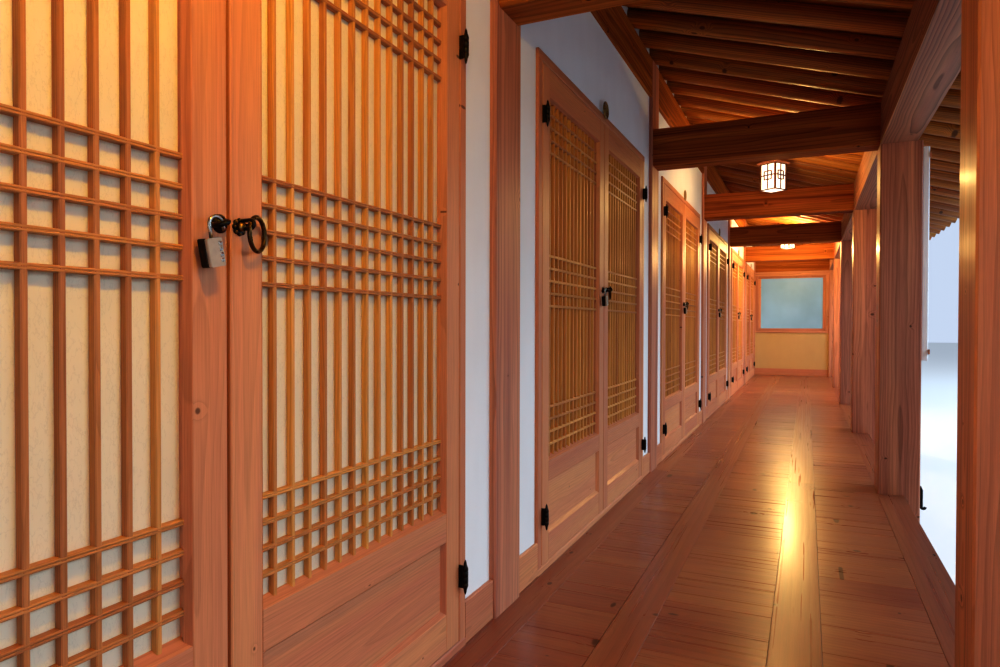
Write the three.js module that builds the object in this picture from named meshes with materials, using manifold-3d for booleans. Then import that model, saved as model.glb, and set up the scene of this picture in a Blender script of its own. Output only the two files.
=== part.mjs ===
// A hanok wing: six bays of rooms behind an open timber veranda, under a gabled tile roof.
// Millimetres, +Z up. X runs along the wing, the veranda faces -Y and the ridge stands over Y = 0.
import * as THREE from "three";
import { mergeVertices } from "three/addons/utils/BufferGeometryUtils.js";
import Module from "manifold-3d";

const wasm = await Module();
wasm.setup();

// Plan: a bay is eight feet of the traditional foot of 302.5 mm, and the veranda is five deep.
const FOOT = 302.5;
const BAY = 8 * FOOT;
const BAYS = 6;
const POST = 210;
const VERANDA_DEPTH = 1515;
const ROOM_DEPTH = 3635;
const FRONT = -(VERANDA_DEPTH + ROOM_DEPTH) / 2;
const WALL = FRONT + VERANDA_DEPTH;
const BACK = -FRONT;
const END = (BAYS / 2) * BAY;

// Heights: FLOOR is the veranda floor above the ground, the others are above that floor.
const FLOOR = 450;
const STONE_HEIGHT = 150;
const TIE_BEAM_BOTTOM = 2010;
const OUTER_BEAM_BOTTOM = 2005;
const OUTER_BEAM_TOP = 2250;
const WALL_BEAM_BOTTOM = 2455;
const WALL_BEAM_TOP = 2700;
const ROOM_FLOOR_TOP = 40;

// Walls: plaster panels stand back from the posts, and run on behind them.
const PLASTER_THICK = 180;
const PLASTER_BACK = 18;
const POST_DEPTH_IN_WALL = 100;
const SEAT = 0.3;

// Doorway of each bay, and the pair of leaves in it.
const DOORWAY_HALF = 910;
const DOORWAY_TOP = 2023;
const JAMB = 38;
const HEAD = 38;
const SILL = 26;
const STOP = 12;
const FRAME_PROUD = 14;
const SILL_ROUND = 8;
const BASEBOARD_HEIGHT = 130;
const LEAF_GAP = 5;
const MEETING_GAP = 8;
const LEAF_THICK = 42;
const STILE = 76;
const RAIL_LEVELS = { bottom: 137, panelTop: 345, latticeBottom: 427, latticeTop: 1870 };
const PANEL_RECESS = 15;
const PANEL_THICK = 15;
const PAPER_RECESS = 36;
const PAPER_THICK = 4;
const HINGE_LEVELS = [222, 1781];
const HINGE_RADIUS = 8.8;
const HINGE_PROUD = 20;
const HINGE_HALF = 52;
const HINGE_TAPER = 26;
const HINGE_PLATE_HALF = 47;
const HINGE_PLATE_REACH = 30;

// Timbers.
const TIE_BEAM_WIDTH = 170;
const OUTER_BEAM_WIDTH = 185;
const WALL_BEAM_WIDTH = 210;
const PURLIN_END = 7780;
const CROSSBEAM_WIDTH = 180;
const RIDGE_PURLIN = 180;

// Roof: a shallow lower slope over the veranda, a steeper one up to the ridge.
const EAVE = 800;
const RAFTER_DEPTH = 95;
const DECK = 25;
const BREAK_Y = -1000;
const UPPER_SLOPE = 0.6;
const TILE_EAVE = 65;
const TILE_THICK = 165;
const COVER_ROWS = 27;
const COVER_WIDTH = 140;
const COVER_CROWN = 80;
const COVER_PROUD = 60;
const VERGE = 80;
const RIDGE_THICK = 300;
const ROOF_END = 7860;
const RIDGE_HALF = 150;
const RIDGE_HEIGHT = 300;
const RIDGE_LIFT = 90;
const GABLE_BOARD = 40;
const GABLE_BOARD_DEPTH = 270;

// Floor structure.
const BOARD_LAYER = 10;
const FLOOR_SLAB = 60;
const FLOOR_BEAM = 120;
const FLOOR_EDGE = FRONT - 29;

const timber = new THREE.MeshStandardMaterial({ color: 0x9a4a1c, roughness: 0.55 });
const doorWood = new THREE.MeshStandardMaterial({ color: 0xb5622c, roughness: 0.5 });
const plaster = new THREE.MeshStandardMaterial({ color: 0xd6d4cf, roughness: 0.95 });
const boards = new THREE.MeshStandardMaterial({ color: 0x7a3f1d, roughness: 0.3 });
const tile = new THREE.MeshStandardMaterial({ color: 0x4a4d50, roughness: 0.85 });
const glass = new THREE.MeshStandardMaterial({ color: 0x8fa6c0, roughness: 0.1 });
const lanternWood = new THREE.MeshStandardMaterial({ color: 0xe0a860, roughness: 0.6 });

// Solids.

function solid(geometry) {
  geometry.deleteAttribute("normal");
  geometry.deleteAttribute("uv");
  const merged = mergeVertices(geometry, 1e-3);
  const index = merged.index.array;
  const triangles = [];
  for (let i = 0; i < index.length; i += 3) {
    const [a, b, c] = [index[i], index[i + 1], index[i + 2]];
    if (a !== b && b !== c && c !== a) triangles.push(a, b, c);
  }
  return new wasm.Manifold(
    new wasm.Mesh({
      numProp: 3,
      vertProperties: new Float32Array(merged.attributes.position.array),
      triVerts: new Uint32Array(triangles),
    }),
  );
}

function box(x0, x1, y0, y1, z0, z1) {
  const geometry = new THREE.BoxGeometry(Math.abs(x1 - x0), Math.abs(y1 - y0), Math.abs(z1 - z0));
  return solid(geometry.translate((x0 + x1) / 2, (y0 + y1) / 2, (z0 + z1) / 2));
}

// An outline of [y, z] points, carried along X.
function prismX(outline, x0, x1) {
  const shape = new THREE.Shape(outline.map(([y, z]) => new THREE.Vector2(y, z)));
  const geometry = new THREE.ExtrudeGeometry(shape, { depth: x1 - x0, bevelEnabled: false });
  const turn = new THREE.Matrix4().makeBasis(
    new THREE.Vector3(0, 1, 0),
    new THREE.Vector3(0, 0, 1),
    new THREE.Vector3(1, 0, 0),
  );
  return solid(geometry.applyMatrix4(turn).translate(x0, 0, 0));
}

// An outline of [x, z] points, carried along Y.
function prismY(outline, y0, y1) {
  const shape = new THREE.Shape(outline.map(([x, z]) => new THREE.Vector2(x, z)));
  const geometry = new THREE.ExtrudeGeometry(shape, { depth: y1 - y0, bevelEnabled: false });
  const turn = new THREE.Matrix4().makeBasis(
    new THREE.Vector3(1, 0, 0),
    new THREE.Vector3(0, 0, 1),
    new THREE.Vector3(0, -1, 0),
  );
  return solid(geometry.applyMatrix4(turn).translate(0, y1, 0));
}

const join = (...solids) => solids.reduce((a, b) => a.add(b));
const cut = (body, ...tools) => tools.reduce((a, b) => a.subtract(b), body);

function geometryOf(body) {
  const mesh = body.getMesh();
  const geometry = new THREE.BufferGeometry();
  geometry.setAttribute("position", new THREE.BufferAttribute(new Float32Array(mesh.vertProperties), 3));
  geometry.setIndex(new THREE.BufferAttribute(new Uint32Array(mesh.triVerts), 1));
  geometry.computeVertexNormals();
  return geometry;
}

const house = new THREE.Group();

function place(name, geometry, material, x = 0, y = 0, z = 0) {
  const mesh = new THREE.Mesh(geometry, material);
  mesh.name = name;
  mesh.position.set(x, y, z);
  house.add(mesh);
}

// Post lines count from 1 at the open end of the veranda, and so do the bays between them.
const postLines = Array.from({ length: BAYS + 1 }, (_, i) => -END + i * BAY);
const bayCentres = Array.from({ length: BAYS }, (_, i) => -END + (i + 0.5) * BAY);
const innerLines = postLines.slice(1, -1);
const half = POST / 2;

// Faces across the building, shared by the walls, frames and floors.
const postFace = WALL - half;
const plasterFace = postFace + PLASTER_BACK;
const wallInner = plasterFace + PLASTER_THICK;
const frameFace = plasterFace - FRAME_PROUD;
const outerPostInner = FRONT + half;
const outerBeamOuter = outerPostInner - OUTER_BEAM_WIDTH;
const backOuter = BACK + half;
const backInner = backOuter - PLASTER_BACK - PLASTER_THICK;
const endInner = END - half;
const endOuter = END + half;

// Roof lines, above the floor. The lower rafters bear on the outer edges of both beams.
const lowerSlope = (WALL_BEAM_TOP - OUTER_BEAM_TOP) / (postFace - outerBeamOuter);
const lowerUnder = (y) => OUTER_BEAM_TOP + SEAT + lowerSlope * (y - outerBeamOuter);
const upperUnder = (y) => lowerUnder(BREAK_Y) + UPPER_SLOPE * (y - BREAK_Y);
const deckDepth = RAFTER_DEPTH + DECK;
const lowerTop = (y) => lowerUnder(y) + deckDepth * Math.hypot(1, lowerSlope);
const upperTop = (y) => upperUnder(y) + deckDepth * Math.hypot(1, UPPER_SLOPE);
const topBreak = BREAK_Y - (upperTop(BREAK_Y) - lowerTop(BREAK_Y)) / (UPPER_SLOPE - lowerSlope);
const rafterEnd = outerBeamOuter - EAVE;

// Veranda posts, each with the stone it stands on.
{
  const stone = 330 / 2;
  const post = box(-half, half, FRONT - half, FRONT + half, STONE_HEIGHT - 5, FLOOR + OUTER_BEAM_BOTTOM);
  const foot = box(-stone, stone, FRONT - stone, FRONT + stone, 0, STONE_HEIGHT);
  const geometry = geometryOf(join(post, foot));
  postLines.forEach((x, i) => place(`outer_post_${i + 1}`, geometry, timber, x));
}

// Tie beams from each wall post to the outer beam, and the outer beam along the post heads.
{
  const w = TIE_BEAM_WIDTH / 2;
  const beam = box(-w, w, outerPostInner, postFace, FLOOR + TIE_BEAM_BOTTOM, FLOOR + OUTER_BEAM_TOP);
  const geometry = geometryOf(beam);
  postLines.forEach((x, i) => place(`tie_beam_${i + 1}`, geometry, timber, x));
}
const beamEnd = PURLIN_END - SEAT;
const outerBeamLevels = [FLOOR + OUTER_BEAM_BOTTOM, FLOOR + OUTER_BEAM_TOP];
const outerBeam = box(-beamEnd, beamEnd, outerBeamOuter, outerPostInner, ...outerBeamLevels);
place("outer_beam", geometryOf(outerBeam), timber);

// Wall frame: the seven wall posts under the wall-top beam.
const wallBeamBox = [
  ...[-beamEnd, beamEnd, postFace, postFace + WALL_BEAM_WIDTH],
  ...[FLOOR + WALL_BEAM_BOTTOM, FLOOR + WALL_BEAM_TOP],
];
const wallBeam = box(...wallBeamBox);
{
  const back = postFace + POST_DEPTH_IN_WALL;
  const head = FLOOR + WALL_BEAM_BOTTOM + 5;
  const posts = postLines.map((x) => box(x - half, x + half, postFace, back, 0, head));
  place("wall_frame", geometryOf(join(wallBeam, ...posts)), timber);
}

// Front wall: plaster with a doorway cut through in every bay, and a seat for each inner post.
{
  const back = postFace + POST_DEPTH_IN_WALL + SEAT;
  const wall = box(-endInner, endInner, plasterFace, wallInner, 0, FLOOR + WALL_BEAM_BOTTOM);
  const beyond = 50;
  const reach = half + SEAT;
  const seats = innerLines.map((x) =>
    box(x - reach, x + reach, plasterFace - beyond, back, -beyond, FLOOR + WALL_BEAM_TOP),
  );
  const through = [plasterFace - beyond, wallInner + beyond, FLOOR, FLOOR + DOORWAY_TOP];
  const doorways = bayCentres.map((x) => box(x - DOORWAY_HALF, x + DOORWAY_HALF, ...through));
  place("front_wall", geometryOf(cut(wall, ...seats, ...doorways)), plaster);
}

// Door frames: jambs, head and low sill, with the stops the leaves close on, the jambs' hinge
// plates, which reach out to the barrels, and baseboards to the posts.
const hingeX = DOORWAY_HALF - JAMB - LEAF_GAP / 2;
const hingeY = frameFace - HINGE_PROUD;
{
  const clear = DOORWAY_HALF - JAMB;
  const stopFace = frameFace + LEAF_THICK + 6;
  const headBottom = DOORWAY_TOP - HEAD;
  const nose = Array.from({ length: 5 }, (_, i) => {
    const a = (i / 4) * (Math.PI / 2);
    const y = frameFace + SILL_ROUND * (1 - Math.cos(a));
    return [y, FLOOR + SILL - SILL_ROUND * (1 - Math.sin(a))];
  });
  const sillOutline = [[frameFace, FLOOR], ...nose, [wallInner, FLOOR + SILL], [wallInner, FLOOR]];
  const sill = prismX(sillOutline, -DOORWAY_HALF, DOORWAY_HALF);
  const lap = 5;
  const jambLevels = [FLOOR + SILL - lap, FLOOR + headBottom + lap];
  const pieces = [
    box(-DOORWAY_HALF, DOORWAY_HALF, frameFace, wallInner, FLOOR + headBottom, FLOOR + DOORWAY_TOP),
    box(-clear, clear, stopFace, wallInner, FLOOR + headBottom - STOP, jambLevels[1]),
    box(-clear, clear, stopFace, wallInner, jambLevels[0], FLOOR + SILL + STOP),
  ];
  for (const side of [-1, 1]) {
    const along = (u) => side * u;
    pieces.push(box(along(clear), along(DOORWAY_HALF), frameFace, wallInner, ...jambLevels));
    pieces.push(box(along(clear - STOP), along(clear + 1), stopFace, wallInner, ...jambLevels));
    const boardEnds = [along(DOORWAY_HALF - 1), along(BAY / 2 - half)];
    pieces.push(box(...boardEnds, frameFace, plasterFace, FLOOR, FLOOR + BASEBOARD_HEIGHT));
    const plateEnds = [along(hingeX + SEAT), along(clear + 1)];
    const plateFaces = [hingeY + HINGE_RADIUS + SEAT, frameFace + HINGE_PLATE_REACH];
    for (const level of HINGE_LEVELS) {
      const levels = [FLOOR + level - HINGE_PLATE_HALF, FLOOR + level + HINGE_PLATE_HALF];
      pieces.push(box(...plateEnds, ...plateFaces, ...levels));
    }
  }
  const geometry = geometryOf(join(sill, ...pieces));
  bayCentres.forEach((x, i) => place(`door_frame_${i + 1}`, geometry, timber, x));
}

// Door leaves: stiles, rails, a recessed lower panel, the lattice's paper, and the hinge barrels, which
// stand proud on the plates let into the leaf's edge.
// The origin of a leaf is its hinge axis, and side +1 is the leaf that reaches from it towards +X.
function leaf(side) {
  const edge = LEAF_GAP / 2;
  const width = DOORWAY_HALF - JAMB - LEAF_GAP - MEETING_GAP / 2;
  const far = edge + width;
  const front = HINGE_PROUD;
  const back = front + LEAF_THICK;
  const bottom = SILL + LEAF_GAP;
  const top = DOORWAY_TOP - HEAD - LEAF_GAP;
  const slab = (u0, u1, d0, d1, z0, z1) => box(side * u0, side * u1, d0, d1, FLOOR + z0, FLOOR + z1);
  const lap = 5;
  const inner = [edge + STILE - lap, far - STILE + lap];
  const panel = [front + PANEL_RECESS, front + PANEL_RECESS + PANEL_THICK];
  const paper = [front + PAPER_RECESS, front + PAPER_RECESS + PAPER_THICK];
  const pieces = [
    slab(edge, edge + STILE, front, back, bottom, top),
    slab(far - STILE, far, front, back, bottom, top),
    slab(edge, far, front, back, bottom, RAIL_LEVELS.bottom),
    slab(edge, far, front, back, RAIL_LEVELS.panelTop, RAIL_LEVELS.latticeBottom),
    slab(edge, far, front, back, RAIL_LEVELS.latticeTop, top),
    slab(...inner, ...panel, bottom + lap, RAIL_LEVELS.panelTop + lap),
    slab(...inner, ...paper, RAIL_LEVELS.latticeBottom - lap, top - lap),
  ];
  const upperBarrel = [[HINGE_RADIUS, HINGE_HALF - HINGE_TAPER], [3.5, HINGE_HALF - 5], [0, HINGE_HALF]];
  const lowerBarrel = upperBarrel.map(([r, z]) => [r, -z]).reverse();
  for (const level of HINGE_LEVELS) {
    const points = [...lowerBarrel, ...upperBarrel].map(([r, z]) => new THREE.Vector2(r, z));
    const lathe = new THREE.LatheGeometry(points, 10).rotateX(Math.PI / 2).translate(0, 0, FLOOR + level);
    pieces.push(solid(lathe));
    const levels = [level - HINGE_PLATE_HALF, level + HINGE_PLATE_HALF];
    pieces.push(slab(SEAT, edge + 0.2, 0, front + HINGE_PLATE_REACH, ...levels));
  }
  return geometryOf(join(...pieces));
}
{
  const leftLeaf = leaf(1);
  const rightLeaf = leaf(-1);
  bayCentres.forEach((x, i) => {
    place(`door_${i + 1}_left`, leftLeaf, doorWood, x - hingeX, hingeY);
    place(`door_${i + 1}_right`, rightLeaf, doorWood, x + hingeX, hingeY);
  });
}

// Veranda floor: a slab notched round the posts, an edge beam and a cross member at every post line.
{
  const top = FLOOR - BOARD_LAYER;
  const bottom = top - FLOOR_SLAB;
  const slab = box(-endOuter, endOuter, FLOOR_EDGE, plasterFace, bottom, top);
  const edge = box(-endOuter, endOuter, FLOOR_EDGE, FLOOR_EDGE + 100, bottom - FLOOR_BEAM, bottom + 1);
  const memberHalf = 60;
  const members = postLines.map((x) =>
    box(x - memberHalf, x + memberHalf, FLOOR_EDGE + 50, postFace - SEAT, bottom - FLOOR_BEAM, bottom + 1),
  );
  const seat = half + SEAT;
  const notches = postLines.flatMap((x) => [
    box(x - seat, x + seat, FLOOR_EDGE - 50, outerPostInner + SEAT, 0, FLOOR + 50),
    box(x - seat, x + seat, postFace - SEAT, plasterFace + 50, 0, FLOOR + 50),
  ]);
  place("veranda_floor", geometryOf(cut(join(slab, edge, ...members), ...notches)), boards);
}

// Heated room floor, a masonry mass inside the walls.
const roomFloor = box(-endInner, endInner, wallInner, backInner, 0, FLOOR + ROOM_FLOOR_TOP);
place("room_floor", geometryOf(roomFloor), plaster);

// Back wall and its frame repeat the posts and plaster of the front, without doors.
const backBeamBox = [-beamEnd, beamEnd, backInner, backInner + OUTER_BEAM_WIDTH, ...outerBeamLevels];
const backBeam = box(...backBeamBox);
{
  const face = backOuter - POST_DEPTH_IN_WALL;
  const head = FLOOR + OUTER_BEAM_BOTTOM + 5;
  const posts = postLines.map((x) => box(x - half, x + half, face, backOuter, 0, head));
  place("back_frame", geometryOf(join(backBeam, ...posts)), timber);
  const wall = box(-endInner, endInner, backInner, backOuter - PLASTER_BACK, 0, FLOOR + OUTER_BEAM_BOTTOM);
  const reach = half + SEAT;
  const seats = innerLines.map((x) =>
    box(x - reach, x + reach, face - SEAT, backOuter + 50, -50, FLOOR + OUTER_BEAM_TOP),
  );
  place("back_wall", geometryOf(cut(wall, ...seats)), plaster);
}

// Roof frame: crossbeams at the post lines, short posts, two purlins and the gable boards on their ends.
const ridgeTop = FLOOR + upperUnder(-RIDGE_PURLIN / 2) - SEAT;
const innerPurlin = [-postFace - WALL_BEAM_WIDTH, -postFace];
function gableBoard() {
  const top = (y) => FLOOR + (y < topBreak ? lowerTop(y) : upperTop(y)) - SEAT;
  const stations = [rafterEnd, topBreak, 0];
  const upper = [...stations.map((y) => [y, top(y)]), ...[topBreak, rafterEnd].map((y) => [-y, top(y)])];
  const lower = upper.map(([y, z]) => [y, z - GABLE_BOARD_DEPTH]).reverse();
  return [...upper, ...lower].reverse();
}
function endTimbers(grow) {
  const outer = [endOuter + grow, endOuter - POST_DEPTH_IN_WALL - grow];
  const level = FLOOR + OUTER_BEAM_TOP;
  const pieces = [];
  for (const side of [-1, 1]) {
    const ends = outer.map((x) => side * x);
    const member = (y0, y1, z0, z1) => box(...ends, y0 - grow, y1 + grow, z0 - grow, z1 + grow);
    const behindPost = postFace + POST_DEPTH_IN_WALL + SEAT;
    pieces.push(member(behindPost, backInner - SEAT, FLOOR + TIE_BEAM_BOTTOM, level));
    pieces.push(member(-80, 80, level - 1, ridgeTop - RIDGE_PURLIN + 1));
    pieces.push(member(innerPurlin[0] + 15, innerPurlin[1] - 15, level - 1, FLOOR + WALL_BEAM_BOTTOM + 1));
  }
  return pieces;
}
function purlins(grow) {
  const end = PURLIN_END + 5;
  const along = (y0, y1, z0, z1) => box(-end, end, y0 - grow, y1 + grow, z0 - grow, z1 + grow);
  return [
    along(...innerPurlin, FLOOR + WALL_BEAM_BOTTOM, FLOOR + WALL_BEAM_TOP),
    along(-RIDGE_PURLIN / 2, RIDGE_PURLIN / 2, ridgeTop - RIDGE_PURLIN, ridgeTop),
  ];
}
{
  const w = CROSSBEAM_WIDTH / 2;
  const level = FLOOR + OUTER_BEAM_TOP;
  const inner = innerLines.flatMap((x) => [
    box(x - w, x + w, wallInner + SEAT, backInner - SEAT, FLOOR + TIE_BEAM_BOTTOM, level),
    box(x - 60, x + 60, -80, 80, level - 1, ridgeTop - RIDGE_PURLIN + 1),
    box(x - 60, x + 60, innerPurlin[0] + 15, innerPurlin[1] - 15, level - 1, FLOOR + WALL_BEAM_BOTTOM + 1),
  ]);
  const gables = [-PURLIN_END - GABLE_BOARD, PURLIN_END].map((x) => prismX(gableBoard(), x, x + GABLE_BOARD));
  place("roof_frame", geometryOf(join(...purlins(0), ...inner, ...endTimbers(0), ...gables)), timber);
}

// Gable walls close the rooms at both ends, up to the rafters.
{
  const clearance = 1;
  const under = (y) => FLOOR + (y < BREAK_Y ? lowerUnder(y) : upperUnder(y)) - clearance;
  const front = postFace + POST_DEPTH_IN_WALL;
  const back = backOuter - POST_DEPTH_IN_WALL;
  const outline = [
    [front, 0], [back, 0], [back, under(-back)], [-BREAK_Y, under(BREAK_Y)],
    [RIDGE_PURLIN / 2, under(-RIDGE_PURLIN / 2)], [-RIDGE_PURLIN / 2, under(-RIDGE_PURLIN / 2)],
    [BREAK_Y, under(BREAK_Y)], [front, under(front)],
  ];
  const grown = ([x0, x1, y0, y1, z0, z1]) => box(x0, x1, y0 - SEAT, y1 + SEAT, z0 - SEAT, z1 + SEAT);
  const timbers = [grown(wallBeamBox), grown(backBeamBox), ...purlins(SEAT), ...endTimbers(SEAT)];
  const face = endOuter - PLASTER_BACK;
  for (const [name, x0, x1] of [["near_gable_wall", -face, -endInner], ["far_gable_wall", endInner, face]]) {
    place(name, geometryOf(cut(prismX(outline, x0, x1), ...timbers)), plaster);
  }
}

// Rafters under a board deck: logs on the lower slope, one foot apart, and a plain upper slope.
function rafterDeck() {
  const log = [[-37, RAFTER_DEPTH], [-50, 60], [-22, 6], [22, 6], [50, 60], [37, RAFTER_DEPTH]];
  const reach = PURLIN_END - SEAT;
  const count = Math.floor((reach - 60) / FOOT);
  const outline = [[-reach, deckDepth], [-reach, RAFTER_DEPTH]];
  for (let k = -count; k <= count; k++) outline.push(...log.map(([x, h]) => [k * FOOT + x, h]));
  outline.push([reach, RAFTER_DEPTH], [reach, deckDepth]);
  const shape = new THREE.Shape(outline.map(([x, h]) => new THREE.Vector2(x, h)));
  const stretch = Math.hypot(1, lowerSlope);
  const depth = (BREAK_Y - rafterEnd) * stretch;
  const lower = new THREE.ExtrudeGeometry(shape, { depth, bevelEnabled: false });
  const along = new THREE.Vector3(0, 1, lowerSlope).normalize();
  const turn = new THREE.Matrix4().makeBasis(
    new THREE.Vector3(1, 0, 0),
    new THREE.Vector3(0, -along.z, along.y),
    along.clone().negate(),
  );
  lower.applyMatrix4(turn).translate(0, BREAK_Y, FLOOR + lowerUnder(BREAK_Y));
  const upper = [
    [topBreak, FLOOR + lowerUnder(topBreak) + 60],
    [BREAK_Y, FLOOR + upperUnder(BREAK_Y)],
    [-SEAT / 2, FLOOR + upperUnder(0)],
    [-SEAT / 2, FLOOR + upperTop(0)],
    [topBreak, FLOOR + upperTop(topBreak)],
  ];
  return join(solid(lower), prismX(upper, -reach, reach));
}

// The same piece on the far slope: half a turn about the vertical.
function turned(geometry) {
  return geometry.clone().scale(-1, -1, 1);
}
{
  const geometry = geometryOf(rafterDeck());
  place("front_rafters", geometry, timber);
  place("back_rafters", turned(geometry), timber);
}

// Tile roof: its bed and channel tiles as one slab each side, hollow-curved on top, with every second row of
// cover tiles standing proud, and the ridge along the meeting.
{
  const eaveY = rafterEnd - TILE_EAVE;
  const gap = 2 * SEAT;
  const ridgeZ = FLOOR + upperTop(0) + RIDGE_THICK;
  const steps = 8;
  const channelTop = (y) => FLOOR + lowerTop(y) + TILE_THICK - COVER_PROUD;
  const slope = new THREE.QuadraticBezierCurve3(
    new THREE.Vector3(0, eaveY, channelTop(eaveY)),
    new THREE.Vector3(0, -1250, channelTop(-1250)),
    new THREE.Vector3(0, -RIDGE_HALF, ridgeZ - COVER_PROUD),
  );
  const outline = [
    [eaveY, FLOOR + lowerTop(eaveY) + gap], [topBreak, FLOOR + lowerTop(topBreak) + gap],
    [-SEAT / 2, FLOOR + upperTop(0) + gap], [-SEAT / 2, ridgeZ - COVER_PROUD],
    ...slope.getSpacedPoints(steps).reverse().map((p) => [p.y, p.z]),
  ];
  const slab = prismX(outline, -ROOF_END, ROOF_END);
  const seat = box(-ROOF_END, ROOF_END, -RIDGE_HALF - 40, -SEAT / 2, ridgeZ - 2 * COVER_PROUD, ridgeZ);

  const sunk = -15;
  const crown = COVER_PROUD - 8;
  const section = [
    [-COVER_WIDTH / 2, sunk], [COVER_WIDTH / 2, sunk], [COVER_CROWN / 2, crown], [-COVER_CROWN / 2, crown],
  ];
  const shape = new THREE.Shape(section.map(([x, h]) => new THREE.Vector2(x, h)));
  const row = new THREE.ExtrudeGeometry(shape, { steps, extrudePath: slope, bevelEnabled: false });
  const reach = ROOF_END - VERGE;
  const covers = Array.from({ length: COVER_ROWS }, (_, i) => {
    const x = -reach + (2 * reach * i) / (COVER_ROWS - 1);
    return solid(row.clone().translate(x, 0, 0));
  });
  const geometry = geometryOf(join(slab, seat, ...covers));
  place("roof_front", geometry, tile);
  place("roof_back", turned(geometry), tile);

  const ridgeEnd = ROOF_END + 40;
  const crest = Array.from({ length: 13 }, (_, i) => {
    const t = -1 + i / 6;
    return [t * ridgeEnd, ridgeZ + SEAT + RIDGE_HEIGHT + RIDGE_LIFT * t ** 4];
  });
  const ridge = [[-ridgeEnd, ridgeZ + SEAT], [ridgeEnd, ridgeZ + SEAT], ...crest.reverse()];
  place("ridge", geometryOf(prismY(ridge, -RIDGE_HALF + 10, RIDGE_HALF - 10)), tile);
}

// Far end of the veranda: a plastered wall with a window.
const windowHalf = 600;
const windowLevels = [860, 1930];
const verandaMiddle = (outerPostInner + postFace) / 2;
{
  const wallHalf = 60;
  const frameHalf = 30;
  const paneHalf = 4;
  const border = 50;
  const [bottom, top] = windowLevels.map((z) => FLOOR + z);
  const sheet = (thickHalf, inset) =>
    box(
      ...[END - thickHalf, END + thickHalf],
      ...[verandaMiddle - windowHalf + inset, verandaMiddle + windowHalf - inset],
      ...[bottom + inset, top - inset],
    );
  const wallLevels = [FLOOR - BOARD_LAYER, FLOOR + TIE_BEAM_BOTTOM];
  const wall = box(END - wallHalf, END + wallHalf, outerPostInner, postFace, ...wallLevels);
  place("veranda_end_wall", geometryOf(cut(wall, sheet(wallHalf + 20, 0))), plaster);

  const frame = cut(sheet(frameHalf, 0), sheet(frameHalf + 1, border));
  const pane = sheet(paneHalf, 5);
  place("end_window", geometryOf(join(frame, pane)), glass);
}

// Box lanterns under a rafter in every other bay, a quarter bay short of the post line. They hang turned.
{
  const side = 160;
  const turn = THREE.MathUtils.degToRad(-34);
  const [bottom, top] = [FLOOR + 2140, FLOOR + 2370];
  const cap = 20;
  const stem = 20;
  const rafterFace = (y) => FLOOR + lowerUnder(y) + 6 * Math.hypot(1, lowerSlope) - SEAT;
  const hanger = [
    [-stem, top],
    [stem, top],
    [stem, rafterFace(verandaMiddle + stem)],
    [-stem, rafterFace(verandaMiddle - stem)],
  ];
  const hung = (width, z0, z1) =>
    solid(new THREE.BoxGeometry(width, width, z1 - z0).rotateZ(turn).translate(0, 0, (z0 + z1) / 2));
  const body = join(
    hung(side, bottom, top),
    hung(side + 28, top - 1, top + cap),
    prismX(hanger, -stem, stem),
  );
  const geometry = geometryOf(body);
  [1, 3, 5].forEach((bay, i) => {
    place(`lantern_${i + 1}`, geometry, lanternWood, bayCentres[bay - 1] + BAY / 4, verandaMiddle);
  });
}

export default house;
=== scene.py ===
"""A hanok wing behind an open veranda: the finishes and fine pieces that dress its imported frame.

Metres, +Z up. X runs along the wing, the veranda faces -Y and the ridge stands over Y = 0."""

import math
import random

import bpy
import numpy as np
from bpy.props import FloatProperty, FloatVectorProperty, IntProperty, PointerProperty
from mathutils import Matrix, Vector


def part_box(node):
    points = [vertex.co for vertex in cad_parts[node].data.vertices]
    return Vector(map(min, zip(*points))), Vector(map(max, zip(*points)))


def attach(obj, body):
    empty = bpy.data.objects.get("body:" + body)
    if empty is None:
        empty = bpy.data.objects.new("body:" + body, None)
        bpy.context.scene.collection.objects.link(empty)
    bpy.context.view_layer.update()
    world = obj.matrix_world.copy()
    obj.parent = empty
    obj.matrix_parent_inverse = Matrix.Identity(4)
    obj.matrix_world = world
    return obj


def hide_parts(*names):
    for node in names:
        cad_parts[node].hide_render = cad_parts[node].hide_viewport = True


bl_info = {
    "name": "Hanok wing",
    "version": (1, 0, 0),
    "blender": (4, 5, 0),
    "location": "3D View > Sidebar > Hanok",
    "description": "Builds the timber, lattice doors, floor, tiles and stage of a hanok wing",
    "category": "Object",
}

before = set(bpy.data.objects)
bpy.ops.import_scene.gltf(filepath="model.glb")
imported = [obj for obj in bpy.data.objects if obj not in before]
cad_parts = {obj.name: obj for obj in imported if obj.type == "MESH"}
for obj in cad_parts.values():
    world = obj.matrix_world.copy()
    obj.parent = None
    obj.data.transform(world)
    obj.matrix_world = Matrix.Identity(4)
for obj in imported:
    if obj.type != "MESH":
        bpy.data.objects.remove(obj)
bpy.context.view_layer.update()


def low(node):
    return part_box(node)[0]


def high(node):
    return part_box(node)[1]


def spans(places):
    """Each place paired with the next."""
    return list(zip(places[:-1], places[1:]))


# Plan and levels, read from the frame.
BAYS = 6
LINES = [(low(f"outer_post_{i}").x + high(f"outer_post_{i}").x) / 2 for i in range(1, BAYS + 2)]
BAY = LINES[1] - LINES[0]
BAY_SPANS = spans(LINES)
CENTRES = [x + BAY / 2 for x in LINES[:-1]]
FLOOR = low("door_frame_1").z
POST = 0.21
POST_STONE = 0.33
POST_INNER = high("outer_post_1").y - (POST_STONE - POST) / 2
POST_OUTER = POST_INNER - POST
WALL_FACE = low("wall_frame").y
PLASTER_FACE = low("front_wall").y
WALL_INNER = high("front_wall").y
PLATE_PROUD = 0.0109
FRAME_FACE = low("door_frame_1").y + PLATE_PROUD
BACK_FACE = high("back_frame").y
BACK_PLASTER = high("back_wall").y
BACK_INNER = low("back_wall").y
TIE = [low("tie_beam_2").z, high("tie_beam_2").z]
BEAM_END = high("outer_beam").x
ROOF_END = high("roof_front").x
POST_IN_WALL = 0.10
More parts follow.
